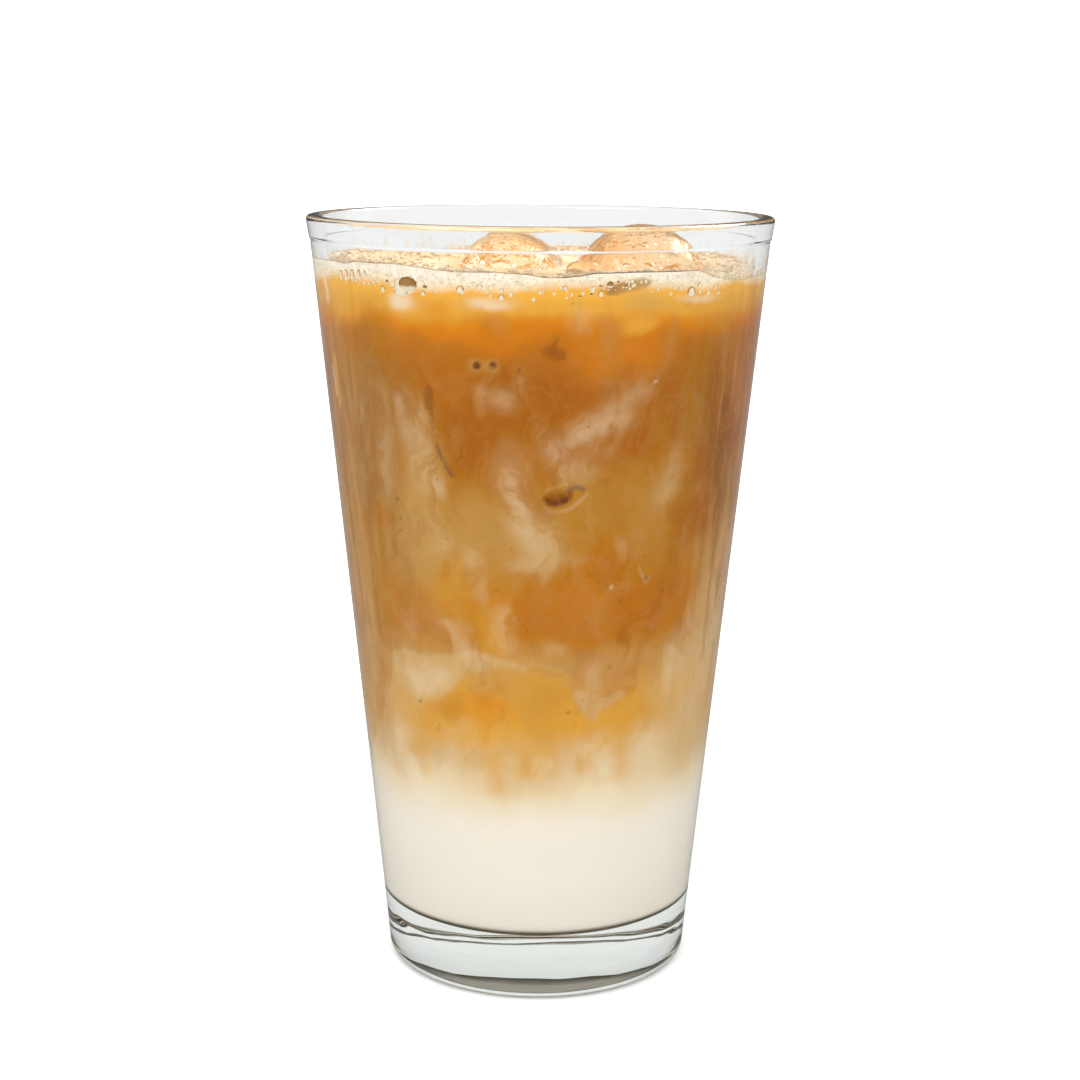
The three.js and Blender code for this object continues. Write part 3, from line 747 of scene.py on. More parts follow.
def paint_drink(mesh):
    """Stores the marbled colour, the fine flow lines and how stirred the drink is at each vertex, with a painted
    shadow along the foot, the ice pockets painted pale, and a painted glow in the pockets and the froth band.
    """
    count = len(mesh.vertices)
    spots = np.empty(count * 3)
    mesh.vertices.foreach_get("co", spots)
    spots = spots.reshape(count, 3) / MM
    drift = stirred(spots, 15, 3.0, 3) + stirred(spots, 5, 1.3, 11) + stirred(spots, 1.8, 0.55, 23)
    waver = stirred(spots, 5, 0.7, 31) + stirred(spots, 1.6, 0.3, 43)
    fray = np.array([noise.noise(Vector((p[0] * 0.9, p[1] * 0.9, p[2] * 0.25))) for p in spots])
    moved = spots + drift
    still = spots + waver
    angle = np.degrees(np.arctan2(moved[:, 0], -moved[:, 1]))
    still_angle = np.degrees(np.arctan2(still[:, 0], -still[:, 1]))
    height = moved[:, 2] - drift[:, 2] * np.clip((spots[:, 2] - 128) / 4, 0, 0.6)
    levels = np.array([z for z, _ in DEPTHS])
    tones = np.array([srgb(*TONES[tone])[:3] for _, tone in DEPTHS])
    colours = np.stack([np.interp(height, levels, tones[:, c]) for c in range(3)], axis=1)
    plain_angle = np.degrees(np.arctan2(spots[:, 0], -spots[:, 1]))
    wisps = np.zeros(count)
    for turn in (0, 180):
        paint_side(colours, wisps, angle, still_angle, height, still[:, 2], plain_angle, spots[:, 2], fray, turn)
    reach = np.hypot(spots[:, 0], spots[:, 1])
    # A dark olive line along the drink's foot, where it meets the glass floor: a painted shadow.
    foot_painted_shadow = np.clip((FLOOR_HEIGHT + 1.15 - spots[:, 2]) / 0.35, 0, 1) * (reach > fillet_r - 0.4)
    tinted(colours, 0.9 * foot_painted_shadow, "olive")
    # Round the ice the drink is painted pale froth with honey and amber blotches. The blotches are the drink's
    # colour; the pale froth is partly painted light for the dim pockets under the ice.
    pocket = (reach < inner_radius(spots[:, 2]) - 2) & (spots[:, 2] > 100) & (spots[:, 2] < FOAM_LEVEL - 0.6)
    pocket &= abs(spots[:, 2] - FOAM_UNDERSIDE) > 0.1
    blotch = np.array([noise.noise(Vector(p) * 0.16 + Vector((7, 2, 0))) for p in spots])
    tinted(colours, pocket * 1.0, "froth")
    tinted(colours, pocket * np.clip(1.8 * blotch, 0, 0.7), "honey")
    tinted(colours, pocket * np.clip(2.8 * blotch - 0.5, 0, 0.9), "amber")
    side = (spots[:, 2] > 110) & (reach > inner_radius(spots[:, 2]) - 0.2)
    # Painted glow: emission strength in the ice pockets and in the froth band against the wall, standing in for
    # light.
    painted_glow = pocket * POCKET_PAINTED_GLOW + side * FROTH_PAINTED_GLOW * np.clip((spots[:, 2] - 133.5) / 2, 0, 1)
    mesh.attributes.new("painted_glow", "FLOAT", "POINT").data.foreach_set("value", painted_glow.astype(np.float32))
    rgba = np.ones((count, 4), np.float32)
    rgba[:, :3] = wetted(colours)
    mesh.attributes.new("marbling", "FLOAT_COLOR", "POINT").data.foreach_set("color", rgba.ravel())
    busy = np.clip((spots[:, 2] - 40) / 32, 0, 1) * np.clip((133 - spots[:, 2]) / 14, 0.3, 1)
    mesh.attributes.new("busy", "FLOAT", "POINT").data.foreach_set("value", busy.astype(np.float32))
    mesh.attributes.new("wisp", "FLOAT", "POINT").data.foreach_set("value", wisps.astype(np.float32))
    froth = np.clip((spots[:, 2] - 134.6) / 1.5, 0, 1).astype(np.float32)
    mesh.attributes.new("froth", "FLOAT", "POINT").data.foreach_set("value", froth)
    flow = (spots + 1.6 * drift).astype(np.float32)
    mesh.attributes.new("flow", "FLOAT_VECTOR", "POINT").data.foreach_set("vector", flow.ravel())


def drink_finish():
    """Coffee and milk: the painted marbling, with fine threads and clouds along the flow of the liquid, and a
    painted glow in the drink's own colour where the painted_glow attribute is set.
    """
    finish = bpy.data.materials.new("marbled_latte")
    finish.use_nodes = True
    tree = finish.node_tree
    shader = tree.nodes["Principled BSDF"]
    painted = wire(tree, "ShaderNodeAttribute", attribute_name="marbling").outputs["Color"]
    busy = wire(tree, "ShaderNodeAttribute", attribute_name="busy").outputs["Fac"]
    flow = wire(tree, "ShaderNodeAttribute", attribute_name="flow").outputs["Vector"]
    tall = wire(tree, "ShaderNodeMapping", {"Vector": flow, "Scale": (1, 1, 0.38)}).outputs[0]
    cloud = wire(tree, "ShaderNodeTexNoise", {
        "Vector": tall, "Scale": 0.11, "Detail": 4, "Roughness": 0.55, "Distortion": 0.8,
    }).outputs[0]
    lighter = sums(tree, "MULTIPLY", ramped(tree, cloud, 0.5, 0.78, 0.0, 0.22), busy)
    darker = sums(tree, "MULTIPLY", ramped(tree, cloud, 0.48, 0.24, 0.0, 0.5), busy)
    smoke = wire(tree, "ShaderNodeTexNoise", {
        "Vector": tall, "Scale": 0.2, "Detail": 4, "Roughness": 0.56, "Distortion": 0.6,
    }).outputs[0]
    wisp = wire(tree, "ShaderNodeAttribute", attribute_name="wisp").outputs["Fac"]
    curl = sums(tree, "MULTIPLY", ramped(tree, smoke, 0.5, 0.72, 0.0, 0.24), busy)
    shade = sums(tree, "MULTIPLY", ramped(tree, smoke, 0.5, 0.3, 0.0, 0.24), busy)
    strand = sums(tree, "MULTIPLY", ramped(tree, smoke, 0.42, 0.6, 0.05, 0.5), wisp)
    thread = wire(tree, "ShaderNodeTexNoise", {
        "Vector": tall, "Scale": 0.16, "Detail": 4, "Roughness": 0.55, "Distortion": 0.7,
    }).outputs[0]
    thread = sums(tree, "ABSOLUTE", sums(tree, "SUBTRACT", thread, 0.5))
    thread = sums(tree, "MULTIPLY", ramped(tree, thread, 0.0, 0.03, 0.13, 0.0), busy)
    out = wire(tree, "ShaderNodeSeparateXYZ", {0: flow}).outputs["X"]
    here = wire(tree, "ShaderNodeTexCoord").outputs["Object"]
    hang = wire(tree, "ShaderNodeMapping", {"Vector": here, "Scale": (1000, 1000, 60)}).outputs[0]
    curtain = wire(tree, "ShaderNodeTexNoise", {"Vector": hang, "Scale": 0.42, "Detail": 3}).outputs[0]
    at_side = sums(tree, "MULTIPLY", ramped(tree, sums(tree, "ABSOLUTE", out), 22, 32), busy)
    fold = sums(tree, "MULTIPLY", ramped(tree, curtain, 0.5, 0.36, 0.0, 0.38), at_side)
    pleat = sums(tree, "MULTIPLY", ramped(tree, curtain, 0.52, 0.66, 0.0, 0.4), at_side)
    pale = tuple(wetted(srgb(*TONES["tan"])[:3])) + (1,)
    deep = tuple(wetted(srgb(*TONES["toffee"])[:3])) + (1,)
    dark = tuple(wetted(srgb(*TONES["rust"])[:3])) + (1,)
    body = painted
    for share, tone in (
        (lighter, pale), (darker, deep), (shade, dark), (fold, dark), (pleat, pale), (curl, pale), (thread, pale),
        (strand, tuple(wetted(srgb(*TONES["cream"])[:3])) + (1,)),
    ):
        body = wire(tree, "ShaderNodeMix", {0: share, 6: body, 7: tone}, data_type="RGBA").outputs[2]
    frothy = wire(tree, "ShaderNodeAttribute", attribute_name="froth").outputs["Fac"]
    cells = wire(tree, "ShaderNodeTexVoronoi", {"Vector": flow, "Scale": 1.5}).outputs["Distance"]
    cells = sums(tree, "MULTIPLY", ramped(tree, cells, 0.25, 0.75, 0.0, 0.26), frothy)
    body = wire(tree, "ShaderNodeMix", {0: cells, 6: body, 7: pale}, data_type="RGBA").outputs[2]
    tree.links.new(body, shader.inputs["Base Color"])
    # The painted glow: the drink emits its own colour where the painted_glow attribute is set, as painted light.
    tree.links.new(body, shader.inputs["Emission Color"])
    painted_glow = wire(tree, "ShaderNodeAttribute", attribute_name="painted_glow").outputs["Fac"]
    tree.links.new(painted_glow, shader.inputs["Emission Strength"])
    shader.inputs["Roughness"].default_value = 0.5
    shader.inputs["Specular IOR Level"].default_value = 0.0
    finish.cycles.emission_sampling = "NONE"
    return finish


def carved(piece, name, margin):
    """Cuts a place for each ice block out of a piece."""
    for size in ICE.values():
        cutter = ice_block("cutter", **size, margin=margin, level=4)
        cut = piece.modifiers.new("cut", "BOOLEAN")
        cut.operation = "DIFFERENCE"
        cut.solver = "EXACT"
        cut.object = cutter
        seen_by = bpy.context.evaluated_depsgraph_get()
        mesh = bpy.data.meshes.new_from_object(piece.evaluated_get(seen_by))
        piece.modifiers.clear()
        piece.data = mesh
        mesh.name = name
        bpy.data.objects.remove(cutter)
    return finished(piece, DRINK_FINISH)


def wall_spot(z):
    return inner_radius(z) + WETTING, z


DRINK_FINISH = drink_finish()
STEPS_ROUND = 400
EDGE_LOOP = 0.03
FINER_AT_FRONT = 0.5
fillet_z = FLOOR_HEIGHT + FLOOR_FILLET
fillet_r = inner_radius(fillet_z) - FLOOR_FILLET
drink_profile = [
    (0, FLOOR_HEIGHT + FLOOR_CROWN - WETTING),
    (fillet_r * 0.5, FLOOR_HEIGHT + FLOOR_CROWN * 0.8 - WETTING),
    *arc(fillet_r, fillet_z, FLOOR_FILLET + WETTING, -90, 0, 10),
    *straight(wall_spot(fillet_z), wall_spot(MILK_TOP), 12),
    *straight(wall_spot(MILK_TOP), wall_spot(FOAM_UNDERSIDE), 200),
    (wall_spot(FOAM_UNDERSIDE)[0] - EDGE_LOOP, FOAM_UNDERSIDE),
    *straight(wall_spot(FOAM_UNDERSIDE), (0, FOAM_UNDERSIDE), 10),
]
drink_profile.insert(-12, wall_spot(FOAM_UNDERSIDE - EDGE_LOOP))
drink = turned_piece("latte_body", drink_profile, DRINK_FINISH, STEPS_ROUND, FINER_AT_FRONT)
carved(drink, "latte_body", -INTO_ICE)
paint_drink(drink.data)
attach(drink, "root")
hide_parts("milk_layer", "coffee_layer")


# The foam: a layer of fine bubbles, a few millimetres deep, that climbs the wall unevenly.
# Its side lies against the glass, and its wet top carries larger bubbles.
FOAM_EDGE = (
    (-180, 138.8), (-120, 138.9), (-80, 139.3), (-62, 139.4), (-57, 139.1), (-51, 139.8), (-45, 139.7),
    (-38, 139.9), (-33, 139.6), (-27, 139.1), (-20, 138.8), (-10, 138.9), (-3, 138.6), (1, 138.1),
    (6, 138.1), (10, 138.4), (13, 138.8), (24, 138.9), (36, 138.8), (42, 138.8), (47, 137.6),
    (53, 136.7), (60, 136.4), (75, 136.8), (100, 138.2), (180, 138.8),
)


def foam_edge(angle):
    edge = np.array(FOAM_EDGE)
    return float(np.interp(angle, edge[:, 0], edge[:, 1]))


def foam_piece():
    """The foam's side follows its edge on the wall, and its top swells and dips inside it."""
    underside = FOAM_UNDERSIDE - 0.05
    profile = [
        (0, underside), *straight((0, underside), wall_spot(underside), 10)[:-1],
        (wall_spot(underside)[0] - EDGE_LOOP, underside), wall_spot(underside),
        wall_spot(underside + EDGE_LOOP),
        *straight(wall_spot(underside), wall_spot(FOAM_LEVEL), 14),
        *straight(wall_spot(FOAM_LEVEL), (0, FOAM_LEVEL), 110),
    ]
    piece = turned_piece("foam_cap", profile, DRINK_FINISH, STEPS_ROUND, FINER_AT_FRONT)
    wall = wall_spot(FOAM_LEVEL)[0]
    for vertex in piece.data.vertices:
        x, y, z = vertex.co / MM
        if z < FOAM_UNDERSIDE:
            continue
        part = (z - underside) / (FOAM_LEVEL - underside)
        angle = math.degrees(math.atan2(x, -y))
        reach = min(1, math.hypot(x, y) / wall)
        climb = (foam_edge(angle) - FOAM_LEVEL) * reach ** 14
        swell = 0.4 * noise.fractal(Vector((x, y, 3)) * 0.09, 1.0, 2.0, 3)
        froth = 0.3 * noise.fractal(Vector((x, y, 9)) * 0.7, 0.8, 2.0, 4)
        on_top = z > FOAM_LEVEL - 0.01
        lift = climb + (swell + froth) * min(1, 6 * (1 - reach)) * on_top
        vertex.co.z += part * lift * MM
    return piece


def foam_top_finish():
    """The wet top of the foam: cream froth with tan coffee oils floating in patches."""
    finish = bpy.data.materials.new("wet_foam_top")
    finish.use_nodes = True
    tree = finish.node_tree
    shader = tree.nodes["Principled BSDF"]
    here = wire(tree, "ShaderNodeTexCoord").outputs["Object"]
    oils = wire(tree, "ShaderNodeTexNoise", {
        "Vector": here, "Scale": 62, "Detail": 4, "Distortion": 1.2,
    }).outputs[0]
    froth = colour_ramp(tree, oils, (
        (0.3, (202, 158, 100)), (0.44, (218, 184, 134)), (0.56, (228, 202, 162)), (0.7, (236, 220, 194)),
    ))
    tree.links.new(froth, shader.inputs["Base Color"])
    shader.inputs["Roughness"].default_value = 0.5
    shader.inputs["Specular IOR Level"].default_value = 0.12
    cells = wire(tree, "ShaderNodeTexVoronoi", {"Vector": here, "Scale": 900}).outputs["Distance"]
    grain = wire(tree, "ShaderNodeBump", {"Height": cells, "Strength": 0.2, "Distance": 0.0003}).outputs[0]
    tree.links.new(grain, shader.inputs["Normal"])
    return finish


def colour_ramp(tree, value, stops):
    ramp = wire(tree, "ShaderNodeValToRGB", {0: value})
    elements = ramp.color_ramp.elements
    while len(elements) < len(stops):
        elements.new(0.5)
    for element, (place, colour) in zip(elements, stops):
        element.position = place
        element.color = srgb(*colour)
    return ramp.outputs[0]


foam = foam_piece()
carved(foam, "foam_cap", -INTO_ICE)
paint_drink(foam.data)
foam.data.materials.append(foam_top_finish())
top_faces = np.array([
    face.normal.z > 0.5 and face.center.z > (FOAM_UNDERSIDE + 1) * MM for face in foam.data.polygons
])
foam.data.polygons.foreach_set("material_index", top_faces.astype(np.int32))
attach(foam, "root")
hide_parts("foam_layer")


# The bubbles: some float in the froth, and some lie flat against the glass and show as rings, with painted shade
# round their edges and a painted highlight below.
# Each is a thin skin of milk round air, wet and shiny.
def bubble_tree():
    """Geometry nodes that set a bubble on every point, sized and turned by the points' own attributes."""
    tree = bpy.data.node_groups.new("bubbles_on_points", "GeometryNodeTree")
    tree.interface.new_socket("Points", in_out="INPUT", socket_type="NodeSocketGeometry")
    tree.interface.new_socket("Flatness", in_out="INPUT", socket_type="NodeSocketFloat")
    tree.interface.new_socket("Finish", in_out="INPUT", socket_type="NodeSocketMaterial")
    tree.interface.new_socket("Bubbles", in_out="OUTPUT", socket_type="NodeSocketGeometry")
    given = tree.nodes.new("NodeGroupInput").outputs
    ball = wire(tree, "GeometryNodeMeshIcoSphere", {"Radius": 1.0, "Subdivisions": 2}).outputs["Mesh"]
    spot = wire(tree, "GeometryNodeInputPosition").outputs[0]
    apart = wire(tree, "ShaderNodeSeparateXYZ", {0: spot}).outputs
    rim = sums(tree, "SQRT", sums(
        tree, "ADD", sums(tree, "MULTIPLY", apart["X"], apart["X"]), sums(tree, "MULTIPLY", apart["Y"], apart["Y"]),
    ))
    ball = wire(tree, "GeometryNodeStoreNamedAttribute", {
        "Geometry": ball, "Name": "rim", "Value": rim,
    }, data_type="FLOAT", domain="POINT").outputs[0]
    ball = wire(tree, "GeometryNodeStoreNamedAttribute", {
        "Geometry": ball, "Name": "upward", "Value": apart["Y"],
    }, data_type="FLOAT", domain="POINT").outputs[0]
    squash = wire(tree, "ShaderNodeCombineXYZ", {0: 1.0, 1: 1.0, 2: given["Flatness"]}).outputs[0]
    ball = wire(tree, "GeometryNodeTransform", {"Geometry": ball, "Scale": squash}).outputs[0]
    smooth = wire(tree, "GeometryNodeSetShadeSmooth", {"Geometry": ball}).outputs[0]
    facing = wire(tree, "GeometryNodeInputNamedAttribute", {"Name": "facing"}, data_type="FLOAT_VECTOR").outputs[0]
    size = wire(tree, "GeometryNodeInputNamedAttribute", {"Name": "size"}, data_type="FLOAT_VECTOR").outputs[0]
    turn = wire(tree, "FunctionNodeAxesToRotation", {
        "Primary Axis": facing, "Secondary Axis": (0, 0, 1),
    }, primary_axis="Z", secondary_axis="Y").outputs[0]
    set_on = wire(tree, "GeometryNodeInstanceOnPoints", {
        "Points": given["Points"], "Instance": smooth, "Rotation": turn, "Scale": size,
    }).outputs[0]
    real = wire(tree, "GeometryNodeRealizeInstances", {"Geometry": set_on}).outputs[0]
    done = wire(tree, "GeometryNodeSetMaterial", {"Geometry": real, "Material": given["Finish"]}).outputs[0]
    wire(tree, "NodeGroupOutput", {"Bubbles": done})
    return tree


BUBBLING = bubble_tree()


def bubble_piece(name, bubbles, finish, flatness):
    """Bubbles from (place, facing, width, height) in millimetres, as one mesh."""
    piece = new_piece(name, [[c * MM for c in place] for place, _, _, _ in bubbles])
    facing = [c for _, way, _, _ in bubbles for c in way]
    sizes = [c for _, _, wide, tall in bubbles for c in (wide * MM, tall * MM, min(wide, tall) * MM)]
    for label, values in (("facing", facing), ("size", sizes)):
        piece.data.attributes.new(label, "FLOAT_VECTOR", "POINT").data.foreach_set("vector", values)
    grown(piece, BUBBLING, Flatness=flatness, Finish=finish)
    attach(piece, "root")
    return piece


def wall_bubble(angle, z, wide, tall=None, depth=0.0):
    """A bubble against the glass, at an angle from the front."""
    turn = math.radians(angle)
    out = (math.sin(turn), -math.cos(turn), 0)
    radius = inner_radius(z) + WETTING - depth
    return (radius * out[0], radius * out[1], z), out, wide, tall or wide


def ring_finish(name, middle, edge, painted_highlight):
    """A bubble seen flat against glass: pale in the middle, a darker ring of painted shade, and a light lower lip
    that is a painted highlight.
    """
    finish = bpy.data.materials.new(name)
    finish.use_nodes = True
    tree = finish.node_tree
    shader = tree.nodes["Principled BSDF"]
    rim = wire(tree, "ShaderNodeAttribute", attribute_name="rim").outputs["Fac"]
    upward = wire(tree, "ShaderNodeAttribute", attribute_name="upward").outputs["Fac"]
    lip = sums(tree, "MULTIPLY", ramped(tree, rim, 0.1, 0.6), ramped(tree, upward, -0.05, -0.55))
    tones = [tuple(wetted(srgb(*TONES[tone])[:3])) + (1,) for tone in (middle, edge, painted_highlight)]
    # ring: the darker edge of the bubble, painted shade; lit: with the painted highlight on the lower lip.
    ring = wire(tree, "ShaderNodeMix", {0: ramped(tree, rim, 0.5, 0.85), 6: tones[0], 7: tones[1]}, data_type="RGBA")
    lit = wire(tree, "ShaderNodeMix", {0: lip, 6: ring.outputs[2], 7: tones[2]}, data_type="RGBA").outputs[2]
    tree.links.new(lit, shader.inputs["Base Color"])
    shader.inputs["Roughness"].default_value = 0.4
    shader.inputs["Specular IOR Level"].default_value = 0.0
    return finish


# Where the bubbles against the front wall are: angle, height, half width, half height.
PALE_RINGS = (
    (-38.6, 136.3, 0.5), (-44, 137, 0.35), (-9.3, 135.9, 0.42), (12.7, 136, 0.5), (10.3, 135.5, 0.35),
    (36.5, 135.9, 0.5), (43, 135.1, 0.45), (46, 134.8, 0.5), (7.6, 135.2, 0.3), (-36.2, 134.9, 1.7, 0.8),
    (6.4, 134.7, 0.25), (-22, 136.6, 0.4), (-16, 137, 0.35), (-4, 136.8, 0.3), (28, 137.2, 0.3),
    (50, 134.6, 0.4), (-26, 135.2, 0.3), (-19, 135.4, 0.45), (-12, 134.9, 0.3), (0, 135.6, 0.35),
    (-14.6, 136.4, 0.55), (-11.4, 136.6, 0.4), (-7, 135.2, 0.5), (-1.6, 134.4, 0.4), (3.4, 135.4, 0.3),
    (-24.6, 136.9, 0.35), (33.6, 135, 0.35), (22.6, 137.4, 0.4), (30.6, 136.6, 0.3), (-48.6, 136, 0.4),
)
CLEAR_RINGS = (
    (-58.8, 137, 0.5, 1.05), (-56.2, 137.1, 0.5, 1.15), (-53.4, 137.2, 0.55, 1.2), (-50.6, 137.4, 0.5, 1.05),
    (-48.2, 137.6, 0.4, 0.8), (40, 135.2, 0.95), (-19.6, 135.9, 0.7), (-9.3, 134.7, 0.55), (42.6, 136.3, 0.5),
    (-35.2, 136.3, 3.1, 2.1, 0.5), (14.8, 135.3, 0.55), (48.6, 135.6, 0.5), (-29.6, 134.9, 0.5), (6, 136.4, 0.4), (-42, 135.2, 0.6),
)
DARK_RINGS = (
    (-34, 136.4, 2.0, 1.35), (17, 136.9, 0.62), (14.6, 136.6, 0.32), (-29, 136, 0.42), (19, 137.3, 0.28),
    (8, 133.6, 0.2), (12.4, 135.2, 0.3), (9.6, 134.9, 0.26), (-40.4, 136.6, 0.35), (21, 136.6, 0.3),
)
rings = np.random.default_rng(7)
small_rings = [
    wall_bubble(rings.uniform(-75, 75), rings.normal(137, 0.8), 0.1 + 0.3 * rings.beta(1.2, 3))
    for _ in range(420)
]
back_rings = [
    wall_bubble(rings.uniform(90, 270), rings.normal(137, 0.8), rings.uniform(0.15, 0.6))
    for _ in range(180)
]
FLAT = 0.35
pale_rings = [wall_bubble(*ring) for ring in PALE_RINGS] + small_rings + back_rings
bubble_piece("wall_bubbles_pale", pale_rings, ring_finish("froth_rings", "froth", "latte", "foam"), FLAT)
clear_rings = [wall_bubble(*ring) for ring in CLEAR_RINGS]
bubble_piece("wall_bubbles_clear", clear_rings, ring_finish("clear_rings", "froth", "fawn", "foam"), FLAT)
dark_rings = [wall_bubble(*ring) for ring in DARK_RINGS]
bubble_piece("wall_bubbles_dark", dark_rings, ring_finish("coffee_rings", "smoke", "umber", "froth"), FLAT)

grounds = [
    wall_bubble(rings.uniform(-180, 180), rings.uniform(52, 132), rings.uniform(0.05, 0.13))
    for _ in range(160)
]
# The grounds take the same ring finish, so each gets a faint rust painted highlight on its lower side.
bubble_piece("coffee_grounds", grounds, ring_finish("dark_grounds", "bark", "bark", "rust"), 1.0)


def film_finish():
    """The skin of a floating bubble: clear, wet and faintly milky."""
    finish = bpy.data.materials.new("bubble_film")
    finish.use_nodes = True
    tree = finish.node_tree
    shader = tree.nodes["Principled BSDF"]
    upward = wire(tree, "ShaderNodeAttribute", attribute_name="rim").outputs["Fac"]
    skin = colour_ramp(tree, upward, ((0.3, (236, 226, 210)), (0.75, (226, 204, 170)), (1.0, (210, 176, 128))))
    tree.links.new(skin, shader.inputs["Base Color"])
    shader.inputs["Roughness"].default_value = 0.16
    shader.inputs["Transmission Weight"].default_value = 0.3
    shader.inputs["IOR"].default_value = 1.3
    return finish


def in_ice(x, y):
    """Whether a place on the surface is taken by ice."""
    for size in ICE.values():
        across = Matrix.Rotation(-math.radians(size["turn"]), 3, "Z") @ Vector((x, y, 0)) - Matrix.Rotation(
            -math.radians(size["turn"]), 3, "Z") @ Vector((size["centre"][0], size["centre"][1], 0))
        if abs(across.x / size["half"][0]) ** size["power"] + abs(across.y / size["half"][1]) ** size["power"] < 0.9:
            return True
    return False


FLOATING = 1000
floating = []
while len(floating) < FLOATING:
    angle = rings.uniform(-math.pi, math.pi)
    reach = rings.beta(4.5, 1.0)
    r = reach * (inner_radius(FOAM_LEVEL) - 0.4)
    size = 0.2 + 0.95 * rings.beta(1.1, 5)
    x, y = r * math.sin(angle), -r * math.cos(angle)
    if in_ice(x, y):
        continue
    level = FOAM_LEVEL + (foam_edge(math.degrees(angle)) - FOAM_LEVEL) * reach ** 14
    floating.append(((x, y, level + size * 0.1), (0, 0, 1), size, size))
bubble_piece("floating_bubbles", floating, film_finish(), 0.8)


# The air in the ice: tiny bubbles frozen into the cubes, thickest at the left of the left cube.
# Each is a speck of trapped air and shows white, whiter on top and warmer below, with a painted glow.
def speck_finish():
    finish = bpy.data.materials.new("trapped_air")
    finish.use_nodes = True
    tree = finish.node_tree
    shader = tree.nodes["Principled BSDF"]
    upward = wire(tree, "ShaderNodeAttribute", attribute_name="upward").outputs["Fac"]
    skin = colour_ramp(tree, upward, ((0.0, (252, 236, 206)), (0.5, (255, 252, 244))))
    tree.links.new(skin, shader.inputs["Base Color"])
    tree.links.new(skin, shader.inputs["Emission Color"])
    # The specks glow a little in their own colour: painted light.
    shader.inputs["Emission Strength"].default_value = SPECK_PAINTED_GLOW
    finish.cycles.emission_sampling = "NONE"
    shader.inputs["Roughness"].default_value = 0.3
    return finish


SPECK_PAINTED_GLOW = 0.35
# cube, how many, and the middle and spread of the cloud of specks, in shares of the cube's half size
AIR = (
    ("ice_cube_left", 260, (-0.5, -0.55, 0.45), (0.2, 0.16, 0.2)),
    ("ice_cube_left", 60, (0.2, -0.5, 0.5), (0.35, 0.2, 0.2)),
    ("ice_cube_right", 110, (0.05, -0.6, 0.35), (0.35, 0.15, 0.25)),
)
specks = []
for cube, count, middle, spread in AIR:
    size = ICE[cube]
    stand = Matrix.Rotation(math.radians(size["turn"]), 3, "Z")
    while count > 0:
        share = np.array([rings.normal(m, s) for m, s in zip(middle, spread)])
        if (abs(share) ** size["power"]).sum() > 0.72:
            continue
        place = stand @ Vector(share * size["half"]) + Vector(size["centre"])
        radius = 0.08 + 0.2 * rings.beta(1.2, 4)
        specks.append((tuple(place), (0, -1, 0), radius, radius))
        count -= 1
bubble_piece("ice_air", specks, speck_finish(), 1.0)


# The tide line: where the foam meets the wall, coffee has dried to a thin brown thread.
# It runs all the way round, a hair inside the glass, and is darkest in front of the right-hand cube.
TIDE_STEPS = 360
TIDE_SIDES = 8
TIDE_TALL = 0.13
TIDE_DEEP = 0.12
TIDE_STRENGTH = (
    (-180, 0.35), (-62, 0.4), (-50, 0.55), (-33, 0.35), (-20, 0.45), (-8, 0.5), (2, 0.65), (7, 0.95), (20, 1.0),
    (34, 0.95), (40, 0.6), (60, 0.4), (80, 0.5), (180, 0.35),
)


def tide_line():
    corners, faces, strengths = [], [], []
    known = np.array(TIDE_STRENGTH)
    for step in range(TIDE_STEPS):
        angle = 360 * step / TIDE_STEPS - 180
        turn = math.radians(angle)
        z = foam_edge(angle) + 0.02
        strength = float(np.interp(angle, known[:, 0], known[:, 1]))
        for side in range(TIDE_SIDES):
            around = math.tau * side / TIDE_SIDES
            r = wall_spot(z)[0] - 0.2 + TIDE_DEEP * math.cos(around)
            up = z + TIDE_TALL * (0.4 + 0.6 * strength) * math.sin(around)
            corners.append((r * math.sin(turn) * MM, -r * math.cos(turn) * MM, up * MM))
            strengths.append(strength)
            here, along = step * TIDE_SIDES, (step + 1) % TIDE_STEPS * TIDE_SIDES
            onward = (side + 1) % TIDE_SIDES
            faces.append((here + side, along + side, along + onward, here + onward))
    piece = new_piece("tide_line", corners, faces=faces)
    piece.data.attributes.new("strength", "FLOAT", "POINT").data.foreach_set("value", strengths)
    return piece


def tide_finish():
    finish = bpy.data.materials.new("dried_coffee")
    finish.use_nodes = True
    tree = finish.node_tree
    shader = tree.nodes["Principled BSDF"]
    strength = wire(tree, "ShaderNodeAttribute", attribute_name="strength").outputs["Fac"]
    here = wire(tree, "ShaderNodeTexCoord").outputs["Object"]
    speckle = wire(tree, "ShaderNodeTexNoise", {"Vector": here, "Scale": 600, "Detail": 3}).outputs[0]
    tone = sums(tree, "MULTIPLY_ADD", speckle, 0.4, sums(tree, "SUBTRACT", strength, 0.2))
    stain = colour_ramp(tree, tone, ((0.3, (222, 190, 148)), (0.6, (176, 128, 82)), (1.0, (92, 58, 34))))
    tree.links.new(stain, shader.inputs["Base Color"])
    shader.inputs["Roughness"].default_value = 0.4
    return finish


tide = finished(tide_line(), tide_finish())
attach(tide, "root")


# The film: latte that has run down the inside of the wall above the foam, in streaks.
# A skin a tenth of a millimetre thick, mostly clear, milky where it has gathered.
FILM_TOP = 142.2
FILM_THICK = 0.14
FILM_COLUMNS = 300
FILM_ROWS = 26
FILM_COVER = (
    (-180, 0.3), (-100, 0.35), (-82, 0.5), (-70, 0.55), (-58, 0.35), (-50, 0.12), (-30, 0.05), (25, 0.05),
    (38, 0.25), (46, 0.75), (58, 0.85), (70, 0.9), (82, 0.7), (100, 0.4), (180, 0.3),
)


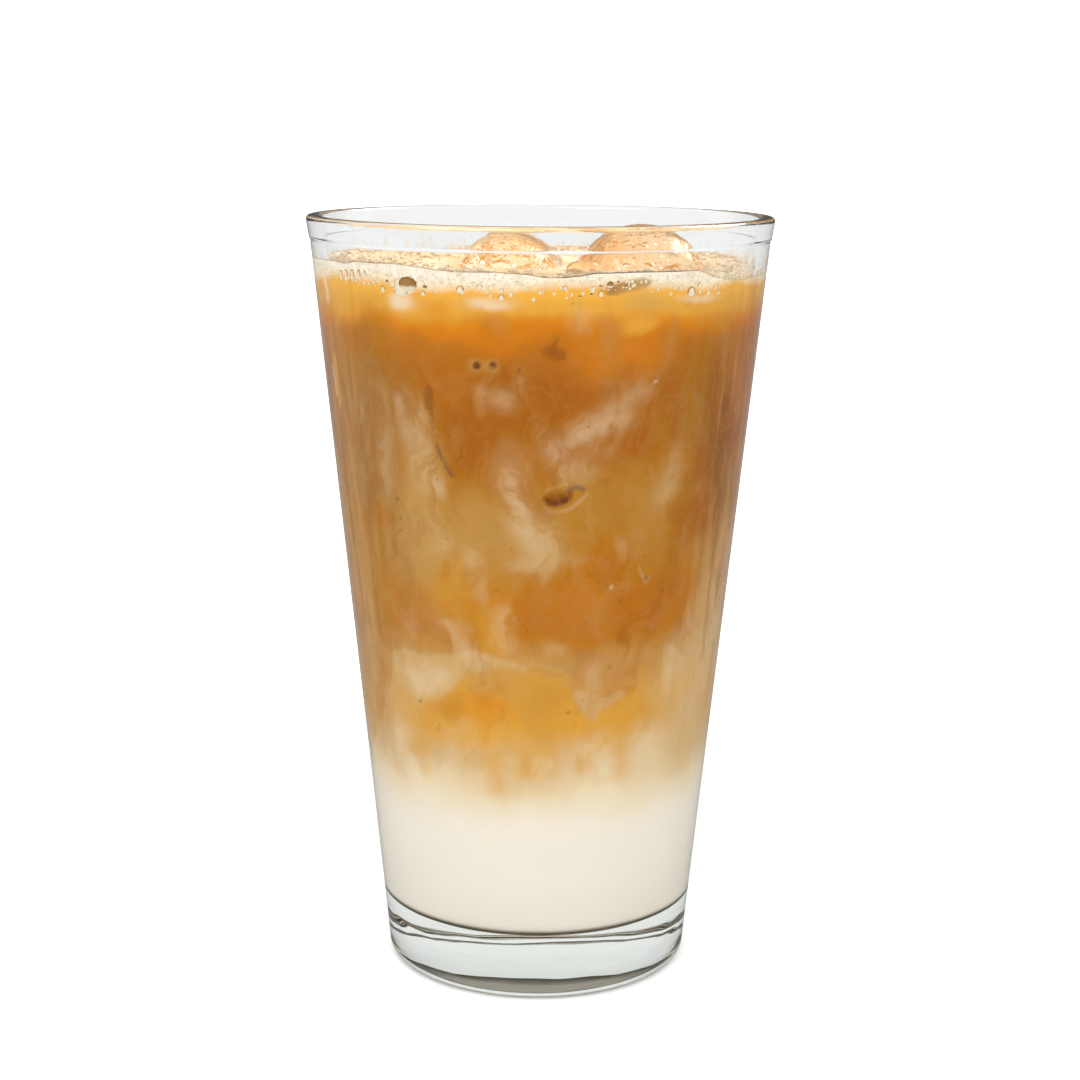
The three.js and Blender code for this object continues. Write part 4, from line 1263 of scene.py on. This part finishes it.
def film_piece():
    known = np.array(FILM_COVER)
    corners, faces, cover = [], [], []
    for layer in (0, 1):
        for row in range(FILM_ROWS + 1):
            for column in range(FILM_COLUMNS):
                angle = 360 * column / FILM_COLUMNS - 180
                turn = math.radians(angle)
                foot = foam_edge(angle) - 0.3
                rise = row / FILM_ROWS
                z = foot + (FILM_TOP - foot) * rise
                r = inner_radius(z) + 0.04 - FILM_THICK * layer
                corners.append((r * math.sin(turn) * MM, -r * math.cos(turn) * MM, z * MM))
                streak = noise.noise(Vector((angle * 0.32, rise * 0.7, 4)))
                fine = noise.noise(Vector((angle * 1.1, rise * 2.2, 9)))
                amount = float(np.interp(angle, known[:, 0], known[:, 1]))
                height = 0.45 + 0.9 * streak + 0.35 * fine
                cover.append(amount * min(1, max(0, (height - rise) * 3)))
    ring, sheet = FILM_COLUMNS, FILM_COLUMNS * (FILM_ROWS + 1)
    for row in range(FILM_ROWS):
        for column in range(FILM_COLUMNS):
            a = row * ring + column
            b = row * ring + (column + 1) % ring
            faces.append((a, b, b + ring, a + ring))
            faces.append((sheet + a, sheet + a + ring, sheet + b + ring, sheet + b))
    for column in range(FILM_COLUMNS):
        a, b = column, (column + 1) % ring
        faces.append((b, a, sheet + a, sheet + b))
        top = FILM_ROWS * ring
        faces.append((top + a, top + b, sheet + top + b, sheet + top + a))
    piece = new_piece("latte_film", corners, faces=faces)
    piece.data.attributes.new("cover", "FLOAT", "POINT").data.foreach_set("value", cover)
    return piece


def film_on_wall_finish():
    """Milky only where the film has gathered, and clear elsewhere."""
    finish = bpy.data.materials.new("latte_film")
    finish.use_nodes = True
    tree = finish.node_tree
    shader = tree.nodes["Principled BSDF"]
    cover = wire(tree, "ShaderNodeAttribute", attribute_name="cover").outputs["Fac"]
    here = wire(tree, "ShaderNodeTexCoord").outputs["Object"]
    run = wire(tree, "ShaderNodeMapping", {"Vector": here, "Scale": (1, 1, 0.25)}).outputs[0]
    streaks = wire(tree, "ShaderNodeTexNoise", {"Vector": run, "Scale": 480, "Detail": 4}).outputs[0]
    alpha = sums(tree, "MULTIPLY", cover, ramped(tree, streaks, 0.4, 0.62, 0.12, 0.9))
    tree.links.new(alpha, shader.inputs["Alpha"])
    tint = colour_ramp(tree, streaks, ((0.35, (226, 190, 138)), (0.6, (250, 236, 208))))
    tree.links.new(tint, shader.inputs["Base Color"])
    shader.inputs["Roughness"].default_value = 0.35
    return finish


film = finished(film_piece(), film_on_wall_finish())
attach(film, "root")
